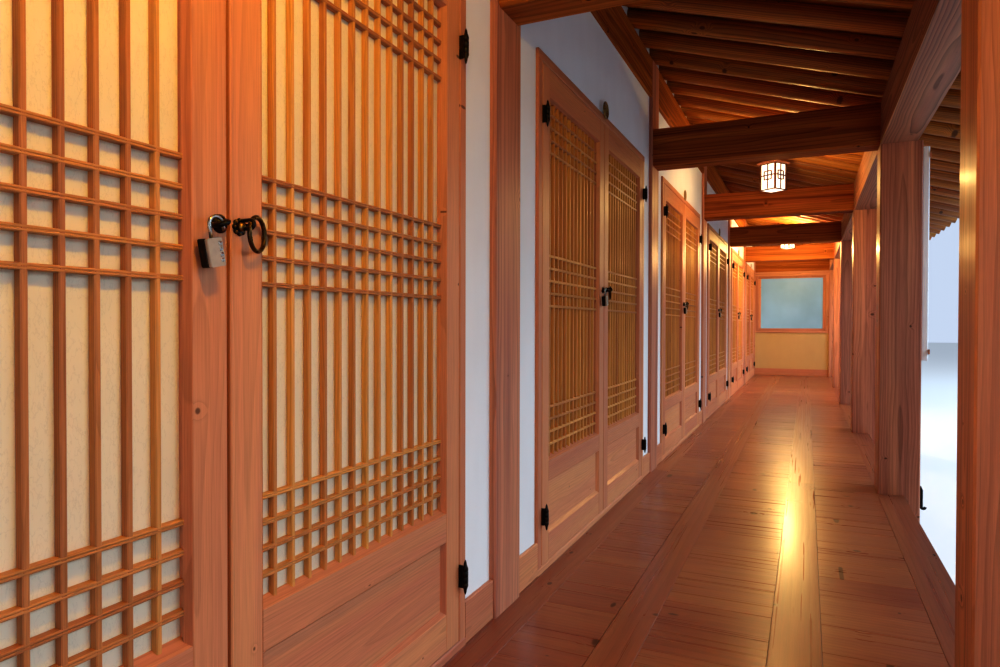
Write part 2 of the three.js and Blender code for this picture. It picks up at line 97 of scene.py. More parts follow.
WALL_BEAM_WIDE = 0.21
WALL_BEAM_DEEP = 0.245
BACK_BEAM_WIDE = 0.185
FLOOR_BOARD = 0.045
STONE_COURSES = [(0.0, 0.2), (0.2, 0.36)]
STONE_PROUD = 0.012

# Roof lines: a shallow slope over the veranda and a steeper one up to the ridge.
RAFTER_DEPTH = 0.095
DECK = 0.025
SEAT = 0.0003
BREAK_Y = -1.0
UPPER_SLOPE = 0.6
FOOT = BAY / 8
BEAM_OUTER = low("outer_beam").y
BEAM_TOP = high("outer_beam").z
WALL_TOP = high("wall_frame").z
LOWER_SLOPE = (WALL_TOP - BEAM_TOP) / (WALL_FACE - BEAM_OUTER)
RAFTER_END = BEAM_OUTER - 0.8
EAVE_Y = RAFTER_END - 0.065
EAVE_INSET = 0.045
TILE_INSET = 0.085
RIDGE_Z = low("ridge").z
GABLE_BOARD = 0.04

# Door leaf.
LEAF_WIDTH = 0.863
LEAF_THICK = 0.042
STILE = 0.076
BOTTOM_RAIL = FLOOR + 0.137
PANEL_TOP = FLOOR + 0.345
LATTICE = [FLOOR + 0.427, FLOOR + 1.870]
LATTICE_GROUPS = [(FLOOR + 0.482, 4), (FLOOR + 1.044, 5), (FLOOR + 1.665, 4)]
PANEL_RECESS = 0.015
BAR_RECESS = 0.016
HINGE_LEVELS = [FLOOR + 0.222, FLOOR + 1.781]
HINGE_PROUD = 0.020
HINGE_RADIUS = 0.0088
HINGE_PLATE_HALF = 0.033
HANDLE_LEVEL = FLOOR + 1.142
DOORWAY_HALF = 0.910
JAMB = 0.038
HEAD = 0.038
SILL = 0.026
DOORWAY_TOP = 2.023
BASEBOARD = 0.130


def lower_under(y):
    return BEAM_TOP + SEAT + LOWER_SLOPE * (y - BEAM_OUTER)


def upper_under(y):
    return lower_under(BREAK_Y) + UPPER_SLOPE * (y - BREAK_Y)


def lower_top(y):
    return lower_under(y) + (RAFTER_DEPTH + DECK) * math.hypot(1, LOWER_SLOPE)


def upper_top(y):
    return upper_under(y) + (RAFTER_DEPTH + DECK) * math.hypot(1, UPPER_SLOPE)


TOP_BREAK = BREAK_Y - (upper_top(BREAK_Y) - lower_top(BREAK_Y)) / (UPPER_SLOPE - LOWER_SLOPE)


# Node trees.


class Value:
    """A socket whose arithmetic adds Math nodes to its tree."""

    def __init__(self, graph, socket):
        self.graph = graph
        self.socket = socket

    def other(self, name):
        return Value(self.graph, self.socket.node.outputs[name])

    def __add__(self, other):
        return self.graph.maths("ADD", self, other)

    def __sub__(self, other):
        return self.graph.maths("SUBTRACT", self, other)

    def __rsub__(self, other):
        return self.graph.maths("SUBTRACT", other, self)

    def __mul__(self, other):
        return self.graph.maths("MULTIPLY", self, other)

    def __truediv__(self, other):
        return self.graph.maths("DIVIDE", self, other)

    def __rtruediv__(self, other):
        return self.graph.maths("DIVIDE", other, self)

    def __pow__(self, other):
        return self.graph.maths("POWER", self, other)

    __radd__ = __add__
    __rmul__ = __mul__


class Graph:
    """A node tree being built."""

    def __init__(self, tree):
        self.tree = tree

    def node(self, kind, settings=None, inputs=(), out=0):
        """Adds a node: its settings first, then its sockets' values and links. Gives one output."""
        made = self.tree.nodes.new(kind)
        for name, value in (settings or {}).items():
            setattr(made, name, value)
        pairs = inputs.items() if isinstance(inputs, dict) else enumerate(inputs)
        for key, value in pairs:
            self.plug(made.inputs[key], value)
        return Value(self, made.outputs[out]) if made.outputs else None

    def plug(self, socket, value):
        if isinstance(value, Value):
            self.tree.links.new(value.socket, socket)
        elif isinstance(value, tuple) and socket.type == "RGBA" and len(value) == 3:
            socket.default_value = (*value, 1.0)
        else:
            socket.default_value = value

    def maths(self, operation, *values):
        return self.node("ShaderNodeMath", {"operation": operation}, values)

    def vector_maths(self, operation, *values):
        return self.node("ShaderNodeVectorMath", {"operation": operation}, values)

    def split(self, vector):
        parts = self.node("ShaderNodeSeparateXYZ", inputs=[vector], out="X")
        return parts, parts.other("Y"), parts.other("Z")

    def join(self, *parts):
        return self.node("ShaderNodeCombineXYZ", inputs=parts)

    def scaled(self, vector, factors):
        return self.vector_maths("MULTIPLY", vector, factors)


class Finish(Graph):
    """A material: one principled surface and the patterns that feed it."""

    def __init__(self, name):
        self.material = bpy.data.materials.new(f"hanok {name}")
        self.material.use_nodes = True
        super().__init__(self.material.node_tree)
        self.tree.nodes.clear()
        self.surface = self.tree.nodes.new("ShaderNodeBsdfPrincipled")
        out = self.tree.nodes.new("ShaderNodeOutputMaterial")
        self.tree.links.new(self.surface.outputs[0], out.inputs["Surface"])

    def wear(self, values):
        """Sets or links the surface's own sockets. Gives the material."""
        for name, value in values.items():
            self.plug(self.surface.inputs[name], value)
        return self.material

    def attribute(self, name, out):
        return self.node("ShaderNodeAttribute", {"attribute_name": name}, out=out)

    def place(self):
        return self.node("ShaderNodeTexCoord", out="Object")

    def noise(self, vector, scale, detail=2.0):
        inputs = {"Vector": vector, "Scale": scale, "Detail": detail}
        return self.node("ShaderNodeTexNoise", inputs=inputs)

    def cells(self, vector, scale, settings=None, out="Distance"):
        inputs = {"Vector": vector, "Scale": scale}
        return self.node("ShaderNodeTexVoronoi", settings, inputs, out)

    def step(self, value, start, end):
        """Rises smoothly from 0 at start to 1 at end."""
        made = {0: value, 1: start, 2: end, 3: 0.0, 4: 1.0}
        return self.node("ShaderNodeMapRange", {"interpolation_type": "SMOOTHSTEP"}, made)

    def mix(self, factor, first, second, blend="MIX"):
        settings = {"data_type": "RGBA", "blend_type": blend}
        return self.node("ShaderNodeMix", settings, {0: factor, 6: first, 7: second}, 2)

    def shaded(self, colour, value, hue=0.5):
        """The colour made lighter or darker, and turned round the hues where hue is off 0.5."""
        inputs = {"Hue": hue, "Saturation": 1.0, "Value": value, "Color": colour}
        return self.node("ShaderNodeHueSaturation", inputs=inputs)

    def bump(self, height, strength, distance):
        inputs = {"Height": height, "Strength": strength, "Distance": distance}
        return self.node("ShaderNodeBump", inputs=inputs)


class Recipe(Graph):
    """A Geometry Nodes tree with named inputs."""

    SOCKETS = {
        "geometry": "NodeSocketGeometry",
        "vector": "NodeSocketVector",
        "whole": "NodeSocketInt",
        "number": "NodeSocketFloat",
        "finish": "NodeSocketMaterial",
    }

    def __init__(self, name, inputs):
        super().__init__(bpy.data.node_groups.new(name, "GeometryNodeTree"))
        self.keys = {}
        for label, kind in inputs.items():
            kind = self.SOCKETS[kind]
            made = self.tree.interface.new_socket(label, in_out="INPUT", socket_type=kind)
            self.keys[label] = made.identifier
        self.tree.interface.new_socket("Geometry", in_out="OUTPUT", socket_type="NodeSocketGeometry")
        self.source = self.tree.nodes.new("NodeGroupInput")

    def given(self, label):
        return Value(self, self.source.outputs[label])

    def stored(self, geometry, domain, kind, name, value):
        inputs = {"Geometry": geometry, "Name": name, "Value": value}
        settings = {"domain": domain, "data_type": kind}
        return self.node("GeometryNodeStoreNamedAttribute", settings, inputs)

    def named(self, kind, name):
        return self.node("GeometryNodeInputNamedAttribute", {"data_type": kind}, {"Name": name})

    def chance(self, lowest, highest, seed):
        """A random number, or a random vector where the limits are vectors."""
        if isinstance(lowest, tuple):
            kind, out, values = "FLOAT_VECTOR", 0, {0: lowest, 1: highest, 8: seed}
        else:
            kind, out, values = "FLOAT", 1, {2: lowest, 3: highest, 8: seed}
        return self.node("FunctionNodeRandomValue", {"data_type": kind}, values, out)

    def realized(self, geometry):
        return self.node("GeometryNodeRealizeInstances", inputs=[geometry])

    def varied(self, instances, seed, spread):
        """Gives each instance its own stretch of grain and its own tone, and makes them real."""
        shift = self.chance((0.0, -0.02, -0.02), (40.0, 0.02, 0.02), seed)
        kept = self.stored(instances, "INSTANCE", "FLOAT_VECTOR", "shift", shift)
        kept = self.stored(kept, "INSTANCE", "FLOAT", "tint", self.chance(-1.0, 1.0, seed + 7))
        kept = self.realized(kept)
        grain, shift = (self.named("FLOAT_VECTOR", name) for name in ("grain", "shift"))
        grain = self.vector_maths("ADD", grain, shift)
        kept = self.stored(kept, "POINT", "FLOAT_VECTOR", "grain", grain)
        tone = self.named("FLOAT", "tone") + self.named("FLOAT", "tint") * spread
        return self.stored(kept, "POINT", "FLOAT", "tone", tone)

    def end(self, geometry):
        whole = self.realized(geometry)
        inputs = {"Geometry": whole, "Material": self.given("Finish")}
        self.node("NodeGroupOutput", inputs=[self.node("GeometryNodeSetMaterial", inputs=inputs)])

    def run(self, mesh, values):
        """The plain mesh that the tree makes from this one."""
        holder = bpy.data.objects.new("holder", mesh)
        modifier = holder.modifiers.new("recipe", "NODES")
        modifier.node_group = self.tree
        for label, value in values.items():
            modifier[self.keys[label]] = value
        bpy.context.scene.collection.objects.link(holder)
        graph = bpy.context.evaluated_depsgraph_get()
        made = bpy.data.meshes.new_from_object(holder.evaluated_get(graph))
        bpy.data.objects.remove(holder)
        return made


def row_recipe():
    """Repeats a member along a straight line."""
    inputs = {
        "Geometry": "geometry",
        "Step": "vector",
        "Count": "whole",
        "Seed": "whole",
        "Tone spread": "number",
        "Finish": "finish",
    }
    tree = Recipe("members in a row", inputs)
    line = {"Count": tree.given("Count"), "Offset": tree.given("Step")}
    line = tree.node("GeometryNodeMeshLine", {"mode": "OFFSET"}, line)
    each = {"Points": line, "Instance": tree.given("Geometry")}
    each = tree.node("GeometryNodeInstanceOnPoints", inputs=each)
    tree.end(tree.varied(each, tree.given("Seed"), tree.given("Tone spread")))
    return tree


def slope_recipe():
    """Lays a tile in rows up a hollow slope and in columns along the eave."""
    inputs = {
        "Geometry": "geometry",
        "Eave": "vector",
        "Middle": "vector",
        "Crest": "vector",
        "Row step": "number",
        "Columns": "whole",
        "Pitch": "number",
        "Looseness": "number",
        "Seed": "whole",
        "Finish": "finish",
    }
    tree = Recipe("tiles on a slope", inputs)
    bow = {"Start": tree.given("Eave"), "Middle": tree.given("Middle"), "End": tree.given("Crest")}
    bow = tree.node("GeometryNodeCurveQuadraticBezier", inputs={"Resolution": 64, **bow})
    rows = {"Curve": bow, "Length": tree.given("Row step")}
    rows = tree.node("GeometryNodeCurveToPoints", {"mode": "LENGTH"}, rows)
    _, forward, rise = tree.split(rows.other("Tangent"))
    rows = tree.stored(rows, "POINT", "FLOAT", "lie", tree.maths("ARCTAN2", rise, forward))
    pitch = tree.given("Pitch")
    start = tree.join((1 - tree.given("Columns")) * pitch * 0.5, 0.0, 0.0)
    line = {"Start Location": start, "Offset": tree.join(pitch, 0.0, 0.0)}
    line = {"Count": tree.given("Columns"), **line}
    line = tree.node("GeometryNodeMeshLine", {"mode": "OFFSET"}, line)
    grid = {"Points": rows, "Instance": line}
    grid = tree.realized(tree.node("GeometryNodeInstanceOnPoints", inputs=grid))
    loose = tree.given("Looseness")
    lie = tree.named("FLOAT", "lie") + tree.chance(-1.0, 1.0, tree.given("Seed") + 3) * loose
    turn = tree.join(lie, 0.0, tree.chance(-1.0, 1.0, tree.given("Seed") + 5) * loose)
    turn = tree.node("FunctionNodeEulerToRotation", inputs=[turn])
    laid = {"Points": grid, "Instance": tree.given("Geometry"), "Rotation": turn}
    laid = tree.node("GeometryNodeInstanceOnPoints", inputs=laid)
    tree.end(tree.varied(laid, tree.given("Seed"), 1.0))
    return tree


# Finishes.


def wood(
    name, colour, share=1.0, knots=1.0, gloss=0.42, coat=0.1,
    ring=0.008, depth=0.55, streaks=1.0, shine=0.5,
):
    """Sawn pine: rings about the pith, knots that bend them, and streaks and fibres along it.

    The colour is taken at a share of its strength, and the rings are spaced in metres."""
    pale = 1.12
    early, late = (tuple(c * share * k for c in colour) for k in (pale, pale * (1 - depth)))
    made = Finish(name)
    grain = made.attribute("grain", "Vector")
    tone = made.attribute("tone", "Fac")
    along, across, up = made.split(grain)
    angle = made.maths("ARCTAN2", up, across)
    knots_per_metre, knots_per_radian, knot_size = 2.86, 0.286, 0.034
    knot_map = made.join(along * knots_per_metre, angle * knots_per_radian, 0.0)
    near = made.cells(knot_map, 1.0, {"voronoi_dimensions": "2D"})
    size = made.split(near.other("Color"))[0]
    edge = size * knot_size * knots
    knot = 1 - made.step(near, edge * 0.6, edge + 0.004)
    swell = 1 - made.step(near, edge * 0.5, edge * 3.2 + 0.02)
    slow = made.noise(made.scaled(grain, (0.9, 5.0, 5.0)), 1.0, 2.0)
    reach = (across * across + up * up) ** 0.5 + (slow - 0.5) * 0.05 + swell * edge * 0.5
    turn = made.maths("FRACT", reach / ring)
    each = made.noise(made.join(reach * 110, along * 0.3, 0.0), 1.0, 1.0)
    dark = turn ** 2.2 * (1 - made.step(turn, 0.94, 1.0)) * (each * 1.6)
    fibre = made.noise(made.scaled(grain, (9.0, 380.0, 380.0)), 1.0, 3.0)
    streak = made.noise(made.scaled(grain, (0.7, 60.0, 60.0)), 1.0, 3.0)
    band = made.noise(made.scaled(grain, (0.5, 16.0, 16.0)), 1.0, 2.0)
    figure = made.mix(dark, early, late)
    shade = 1 + tone * 0.12 + (fibre - 0.5) * 0.5
    shade = shade + ((streak - 0.5) * 0.9 + (band - 0.5) * 0.9) * streaks
    figure = made.shaded(figure, shade, 0.5 + tone * 0.006 + (band - 0.5) * 0.03)
    heart = tuple(c * 0.16 for c in early)
    figure = made.mix(knot * 0.85, figure, heart)
    return made.wear({
        "Base Color": figure,
        "Roughness": gloss + (streak - 0.5) * 0.25 + dark * 0.05,
        "Specular IOR Level": shine,
        "Coat Weight": coat,
        "Coat Roughness": 0.17,
        "Normal": made.bump(fibre, 0.25, 0.0004),
    })


def plaster(name, colour, trowel=1.0):
    """Lime plaster: faint clouds, trowel marks and fine grit."""
    made = Finish(name)
    place = made.place()
    clouds = made.noise(place, 1.7, 4.0)
    marks = made.noise(made.scaled(place, (9.0, 9.0, 3.5)), 1.0, 3.0)
    grit = made.noise(place, 420.0, 2.0)
    shade = 1 + (clouds - 0.5) * 0.16 + (marks - 0.5) * 0.08 + (grit - 0.5) * 0.06
    return made.wear({
        "Base Color": made.shaded(colour, shade),
        "Roughness": 0.9,
        "Normal": made.bump(marks * 0.8 * trowel + grit * 0.25, 0.3, 0.003),
    })


def paper(name, colour, lit=False):
    """Mulberry paper: long fibres in a cloudy sheet, lit from behind in a lantern."""
    made = Finish(name)
    place = made.place()
    clouds = made.noise(place, 11.0, 4.0)
    bend = made.noise(place, 22.0, 2.0)
    hair = made.noise(made.scaled(place, (160.0, 160.0, 60.0)), 1.0, 4.0)
    fibres = 1 - made.step(made.maths("ABSOLUTE", hair - bend), 0.0, 0.035)
    shade = 1 + (clouds - 0.5) * 0.12 - fibres * 0.1
    sheet = made.shaded(colour, shade)
    values = {"Base Color": sheet, "Roughness": 0.85, "Normal": made.bump(fibres, 0.15, 0.0006)}
    if lit:
        glow = bpy.context.scene.hanok_colours.lantern_glow
        values.update({"Emission Color": sheet, "Emission Strength": glow})
    return made.wear(values)


def metal(name, colour, roughness, metallic=1.0, pits=0.3, rust=None):
    """Worked metal: hammer marks, fine pits, and darker patches or a bloom of rust."""
    made = Finish(name)
    place = made.place()
    patches = made.noise(place, 70.0, 4.0)
    dents = made.cells(place, 190.0, {"feature": "SMOOTH_F1"})
    grit = made.noise(place, 900.0, 2.0)
    skin = made.shaded(colour, 0.75 + patches * 0.5)
    if rust:
        skin = made.mix(made.step(patches, 0.55, 0.72) * 0.5, skin, rust)
    return made.wear({
        "Base Color": skin,
        "Metallic": metallic,
        "Roughness": roughness + (patches - 0.5) * 0.3,
        "Normal": made.bump(dents * 0.7 + grit * 0.2, pits, 0.0012),
    })


def stone(name, colour, dark):
    """Granite: crystals of two tones, dark specks and a pecked surface."""
    made = Finish(name)
    place = made.place()
    crystals = made.cells(place, 130.0, out="Color")
    shade = made.split(crystals)[0]
    specks = 1 - made.step(made.cells(place, 95.0), 0.10, 0.22)
    clouds = made.noise(place, 3.0, 3.0)
    pecked = made.noise(place, 60.0, 4.0)
    base = made.mix(shade * 0.5, colour, tuple(c * 0.7 for c in colour))
    base = made.mix(specks * 0.7, base, dark)
    return made.wear({
        "Base Color": made.shaded(base, 1 + (clouds - 0.5) * 0.4),
        "Roughness": 0.82,
        "Normal": made.bump(pecked, 0.5, 0.004),
    })


def fired_clay(name, colour):
    """Smoked roof tile: each its own grey, with silver bloom, water stains and grit."""
    made = Finish(name)
    place = made.place()
    tone = made.attribute("tone", "Fac")
    bloom = made.noise(place, 7.0, 4.0)
    stains = made.noise(made.scaled(place, (16.0, 3.0, 3.0)), 1.0, 3.0)
    grit = made.noise(place, 240.0, 3.0)
    shade = 1 + tone * 0.28 + (bloom - 0.5) * 0.5 + (grit - 0.5) * 0.25
    base = made.shaded(colour, shade)
    pale = tuple(min(1.0, c * 2.4) for c in colour)
    base = made.mix(made.step(stains, 0.56, 0.75) * 0.4, base, pale)
    return made.wear({
        "Base Color": base,
        "Roughness": 0.66 + (bloom - 0.5) * 0.3,
        "Normal": made.bump(grit * 0.6 + bloom * 0.5, 0.35, 0.002),
    })


def pane(name, colour):
    """Window glass seen from the dim side, barely uneven. Its cloudy dusk tint and faint glow are
    painted light: the dusk beyond the window, shown as the pane's own colour and emission.
    """
    made = Finish(name)
    place = made.place()
    clouds = made.noise(place, 1.6, 3.0)
    wave = made.noise(place, 5.0, 2.0)
    return made.wear({
        "Base Color": made.shaded(colour, 0.8 + clouds * 0.4),
        "Roughness": 0.15 + clouds * 0.1,
        "Specular IOR Level": 0.04,
        # Painted light: the pane glows faintly in its own tint, though it is no lamp.
        "Emission Color": made.shaded(colour, 0.5 + clouds),
        "Emission Strength": 0.35,
        "Normal": made.bump(wave, 0.06, 0.004),
    })


# Each finish: its maker, its colour or the setting that holds it, and the maker's other values.
FINISHES = {
    "timber": (
        wood, "timber",
        dict(gloss=0.4, coat=0.05, ring=0.011, depth=0.4, streaks=0.85, shine=0.18),
    ),
    "beam wood": (
        wood, "beam",
        dict(gloss=0.55, coat=0.0, ring=0.012, streaks=1.5, shine=0.05),
    ),
    "pale beam wood": (
        wood, "timber",
        dict(share=0.75, knots=0.9, gloss=0.5, coat=0.0, ring=0.010, depth=0.75, streaks=0.9),
    ),
    "door wood": (
        wood, "door",
        dict(knots=0.5, gloss=0.42, coat=0.0, ring=0.007, depth=0.18, streaks=0.17, shine=0.2),
    ),
    "lattice wood": (
        wood, "lattice",
        dict(knots=0.0, coat=0.0, ring=0.004, depth=0.3, streaks=0.6, shine=0.2),
    ),
    "ceiling wood": (
        wood, "ceiling",
        dict(knots=1.9, gloss=0.48, coat=0.05, ring=0.010, depth=0.65, streaks=1.5),
    ),
    "floor wood": (
        wood, "floor",
        dict(knots=1.8, gloss=0.3, coat=0.15, ring=0.02, depth=0.2, streaks=0.45, shine=0.4),
    ),
    "white wood": (
        wood, (0.76, 0.80, 0.86),
        dict(knots=0.4, gloss=0.6, coat=0.0, depth=0.15, streaks=0.2),
    ),
    "lantern wood": (wood, (0.11, 0.035, 0.012), dict(knots=0.0, ring=0.003)),
    "plaster": (plaster, "plaster", {}),
    # Painted light: the end wall's plaster is the lime plaster of the other walls, coloured orange for
    # the lamplight that falls on it.
    "warm plaster": (plaster, (0.56, 0.37, 0.17), {}),
    "earth": (plaster, (0.30, 0.24, 0.17), dict(trowel=2.0)),
    "door paper": (paper, "paper", {}),
    "lantern paper": (paper, (1.0, 0.93, 0.80), dict(lit=True)),
    "floor paper": (paper, (0.62, 0.46, 0.2), {}),
    "iron": (metal, (0.022, 0.021, 0.02), dict(roughness=0.42, metallic=0.75, rust=(0.06, 0.03, 0.015))),
    "bronze": (metal, (0.32, 0.21, 0.085), dict(roughness=0.35, rust=(0.05, 0.05, 0.03))),
    "dark bronze": (
        metal, (0.09, 0.055, 0.022),
        dict(roughness=0.3, metallic=0.9, rust=(0.03, 0.02, 0.012)),
    ),
    "steel": (metal, (0.5, 0.49, 0.46), dict(roughness=0.28, pits=0.08)),
    "dull steel": (metal, (0.40, 0.33, 0.27), dict(roughness=0.5, metallic=0.35, pits=0.1)),
    "granite": (stone, (0.42, 0.4, 0.37), dict(dark=(0.05, 0.05, 0.05))),
    "roof tile": (fired_clay, "tile", {}),
    # The window glass holds painted light: its tint and glow stand for the dusk beyond it.
    "window glass": (pane, "glass", {}),
}


def make_finish(name):
    maker, colour, values = FINISHES[name]
    if isinstance(colour, str):
        colour = tuple(getattr(bpy.context.scene.hanok_colours, colour))
    return maker(name, colour, **values)


def finish(name):
    """The finish, made when it is first asked for."""
    return bpy.data.materials.get(f"hanok {name}") or make_finish(name)


# Shapes.

ALONG = {"x": (0, 1, 2), "y": (1, 2, 0), "z": (2, 0, 1)}


HALF_TURN = Matrix.Rotation(math.pi, 4, "Z")


def placed(origin, x_axis, y_axis, z_axis):
    """The place of a member whose own x, y and z point along the three axes."""
    made = Matrix((x_axis, y_axis, z_axis)).transposed().to_4x4()
    made.translation = origin
    return made


def axes(along, origin=(0, 0, 0)):
    """Local x runs along the named axis, y and z across it."""
    return placed(origin, *(Matrix.Identity(3)[world] for world in ALONG[along]))


def up_slope(origin, slope):
    """Local x climbs the slope towards +Y, and local z stands square to it."""
    steep = math.atan(slope)
    climb = Vector((0, math.cos(steep), math.sin(steep)))
    square = Vector((0, -climb.z, climb.y))
    return placed(origin, climb, square.cross(climb), square)


def arc(end, steps):
    """Angles from 0 to end in equal steps, both included."""
    return [end * i / steps for i in range(steps + 1)]


def circle(count):
    """Angles all round."""
    return [2 * math.pi * i / count for i in range(count)]


def polar(radius, angle):
    return radius * math.cos(angle), radius * math.sin(angle)


def chamfered(width, height, chamfer):
    """The outline of a squared member with its four long edges taken off."""
    w, h, c = width / 2, height / 2, chamfer
    return [
        (-w + c, -h), (w - c, -h), (w, -h + c), (w, h - c),
        (w - c, h), (-w + c, h), (-w, h - c), (-w, -h + c),
    ]


def round_outline(radius, sides):
    return [polar(radius, a) for a in circle(sides)]


def counter_clockwise(outline):
    """Whether the outline runs that way."""
    return sum(a[0] * b[1] - b[0] * a[1] for a, b in zip(outline, outline[1:] + outline[:1])) > 0


# How far the heart of the tree lies from the middle of a member, at least and at most.
PITH = (0.03, 0.14)


class Shape:
    """Members gathered into one mesh. Each has its own finish, tone and run of grain."""

    def __init__(self, seed):
        self.random = random.Random(seed)
        self.points = []
        self.grain = []
        self.tone = []
        self.faces = []
        self.finishes = []
        self.smooth = []

    def member(self, local, faces, place, finish_name, pith=PITH, smooth=()):
        """Adds a closed solid given in its own axes, with x along the fibres."""
        turn = self.random.uniform(0, 2 * math.pi)
        away = self.random.uniform(*pith)
        shift = Vector((self.random.uniform(0, 50), away * math.cos(turn), away * math.sin(turn)))
        tone = self.random.uniform(-1, 1)
        first = len(self.points)
        local = [Vector(p) for p in local]
        self.points += [place @ p for p in local]
        self.grain += [p + shift for p in local]
        self.tone += [tone] * len(local)
        self.faces += [[first + i for i in face] for face in faces]
        self.finishes += [finish_name] * len(faces)
        self.smooth += list(smooth) or [False] * len(faces)

    def loft(self, sections, place, finish_name, smooth=False, closed=False, pith=PITH):
        """A solid through sections of equal count, each counter-clockwise about the way they run."""
        count, sides = len(sections), len(sections[0])
        local = [p for section in sections for p in section]
        faces = []
        for k in range(count if closed else count - 1):
            here, there = k * sides, (k + 1) % count * sides
            for i in range(sides):
                j = (i + 1) % sides
                faces.append((here + i, here + j, there + j, there + i))
        flags = [smooth] * len(faces)
        if not closed:
            faces.append(tuple(reversed(range(sides))))
            faces.append(tuple(range((count - 1) * sides, count * sides)))
            flags += [False, False]
        self.member(local, faces, place, finish_name, pith, flags)

    def prism(self, outline, start, end, place, finish_name, smooth=False, pith=PITH):
        """An outline across the member, carried along it from start to end."""
        if not counter_clockwise(outline):
            outline = outline[::-1]
        sections = [[(x, y, z) for y, z in outline] for x in (start, end)]
        self.loft(sections, place, finish_name, smooth, pith=pith)

    def bar(self, a, b, along, finish_name, chamfer=0.003, pith=PITH):
        """A squared member between two opposite corners."""
        lows = [min(p, q) for p, q in zip(a, b)]
        sizes = [abs(p - q) for p, q in zip(a, b)]
        middle = [p + s / 2 for p, s in zip(lows, sizes)]
        length, width, height = (sizes[i] for i in ALONG[along])
        outline = chamfered(width, height, min(chamfer, 0.3 * width, 0.3 * height))
        self.prism(outline, -length / 2, length / 2, axes(along, middle), finish_name, pith=pith)

    def lathe(self, profile, sides, place, finish_name, smooth=True):
        """A turned piece about its own x, from a profile of (along, radius)."""
        sections = []
        for x, radius in profile:
            sections.append([(x, y, z) for y, z in round_outline(max(radius, 1e-5), sides)])
        self.loft(sections, place, finish_name, smooth)

    def rod(self, path, radius, sides, finish_name, closed=False):
        """A round rod bent along a path of world points."""
        path = [Vector(p) for p in path]
        count = len(path)
        sections = []
        side = None
        for k, here in enumerate(path):
            before = path[k - 1] if closed or k else here
            after = path[(k + 1) % count] if closed or k < count - 1 else here
            ahead = (after - before).normalized()
            if side is None:
                side = ahead.orthogonal().normalized()
            side = (side - ahead * side.dot(ahead)).normalized()
            other = ahead.cross(side)
            sections.append([here + side * u + other * v for u, v in round_outline(radius, sides)])
        self.loft(sections, Matrix(), finish_name, True, closed)

    def absorb(self, mesh, finish_name):
        """Takes in the mesh of a finished row, with its grain and tones."""
        first = len(self.points)
        self.points += [v.co.copy() for v in mesh.vertices]
        self.grain += [Vector(d.vector) for d in mesh.attributes["grain"].data]
        self.tone += [d.value for d in mesh.attributes["tone"].data]
        self.faces += [[first + i for i in polygon.vertices] for polygon in mesh.polygons]
        self.finishes += [finish_name] * len(mesh.polygons)
        self.smooth += [polygon.use_smooth for polygon in mesh.polygons]
        bpy.data.meshes.remove(mesh)

    def spin(self, centre, angle):
        """Turns all that is gathered so far about an upright through the centre."""
        there, back = Matrix.Translation(centre), Matrix.Translation(-Vector(centre))
        turn = there @ Matrix.Rotation(angle, 4, "Z") @ back
        self.points = [turn @ p for p in self.points]

    def mesh(self, name):
        made = bpy.data.meshes.new(name)
        made.from_pydata([tuple(p) for p in self.points], [], self.faces)
        grain = made.attributes.new("grain", "FLOAT_VECTOR", "POINT")
        grain.data.foreach_set("vector", np.array([tuple(g) for g in self.grain], np.float32).ravel())
        tone = made.attributes.new("tone", "FLOAT", "POINT")
        tone.data.foreach_set("value", np.array(self.tone, np.float32))
        used = sorted(set(self.finishes))
        for finish_name in used:
            made.materials.append(finish(finish_name))
        made.polygons.foreach_set("material_index", [used.index(f) for f in self.finishes])
        made.polygons.foreach_set("use_smooth", self.smooth)
        made.update()
        return made


RECIPES = {}


def recipe(maker):
    """The tree, made when it is first asked for."""
    if maker not in RECIPES:
        RECIPES[maker] = maker()
    return RECIPES[maker]


def in_a_row(shape, prototype, step, count, finish_name, seed):
    """Repeats a small shape along a line and takes the row into the larger one."""
    values = {"Step": step, "Count": count, "Seed": seed, "Tone spread": 1.0}
    values["Finish"] = finish(finish_name)
    shape.absorb(recipe(row_recipe).run(prototype.mesh("member"), values), finish_name)


def installed(mesh, name, nodes, body="house"):
    """Makes the mesh a piece that rides on a body and stands for the named nodes."""
    piece = bpy.data.objects.new(name, mesh)
    bpy.context.scene.collection.objects.link(piece)
    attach(piece, body)
    if nodes:
        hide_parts(*nodes)


def assembled(shape, name, nodes, body="house"):
    """Makes the gathered members a piece."""
    installed(shape.mesh(name), name, nodes, body)


def half_turned(mesh, name):
    """The same piece on the far slope."""
    copy = mesh.copy()
    copy.name = name
    copy.transform(HALF_TURN)
    return copy


# Pieces.


def veranda_post(shape, x, node):
    """A squared post that stands on a dressed stone."""
    lowest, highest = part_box(node)
    stone_half, stone_top, sunk = (highest.x - lowest.x) / 2, 0.15, 0.004
    middle = ((lowest.x + highest.x) / 2, (lowest.y + highest.y) / 2, 0)
    sections = []
    for level, inset in ((0, 0), (0.11, 0.003), (0.138, 0.012), (stone_top, 0.032)):
        wide = 2 * (stone_half - inset)
        sections.append([(level, y, z) for y, z in chamfered(wide, wide, 0.02)])
    shape.loft(sections, axes("z", middle), "granite")
    half = POST / 2
    corner = (x - half, POST_OUTER, stone_top - sunk)
    shape.bar(corner, (x + half, POST_INNER, highest.z), "z", "timber", 0.006, (0.0, 0.09))


def name_board(shape, x):
    """A blank board that hangs on the outer face of a post."""
    half, thick, from_end = 0.075, 0.036, 0.05
    batten_half, batten_thick = 0.014, 0.006
    top, bottom = low("outer_beam").z - 0.03, FLOOR + 0.77
    front = POST_OUTER - thick
    shape.bar((x - half, front, bottom), (x + half, POST_OUTER - 0.001, top), "z", "white wood", 0.006)
    half += 0.012
    for level in (bottom + from_end, top - from_end):
        corner = (x - half, front - batten_thick, level - batten_half)
        shape.bar(corner, (x + half, front + 0.001, level + batten_half), "x", "timber", 0.002)


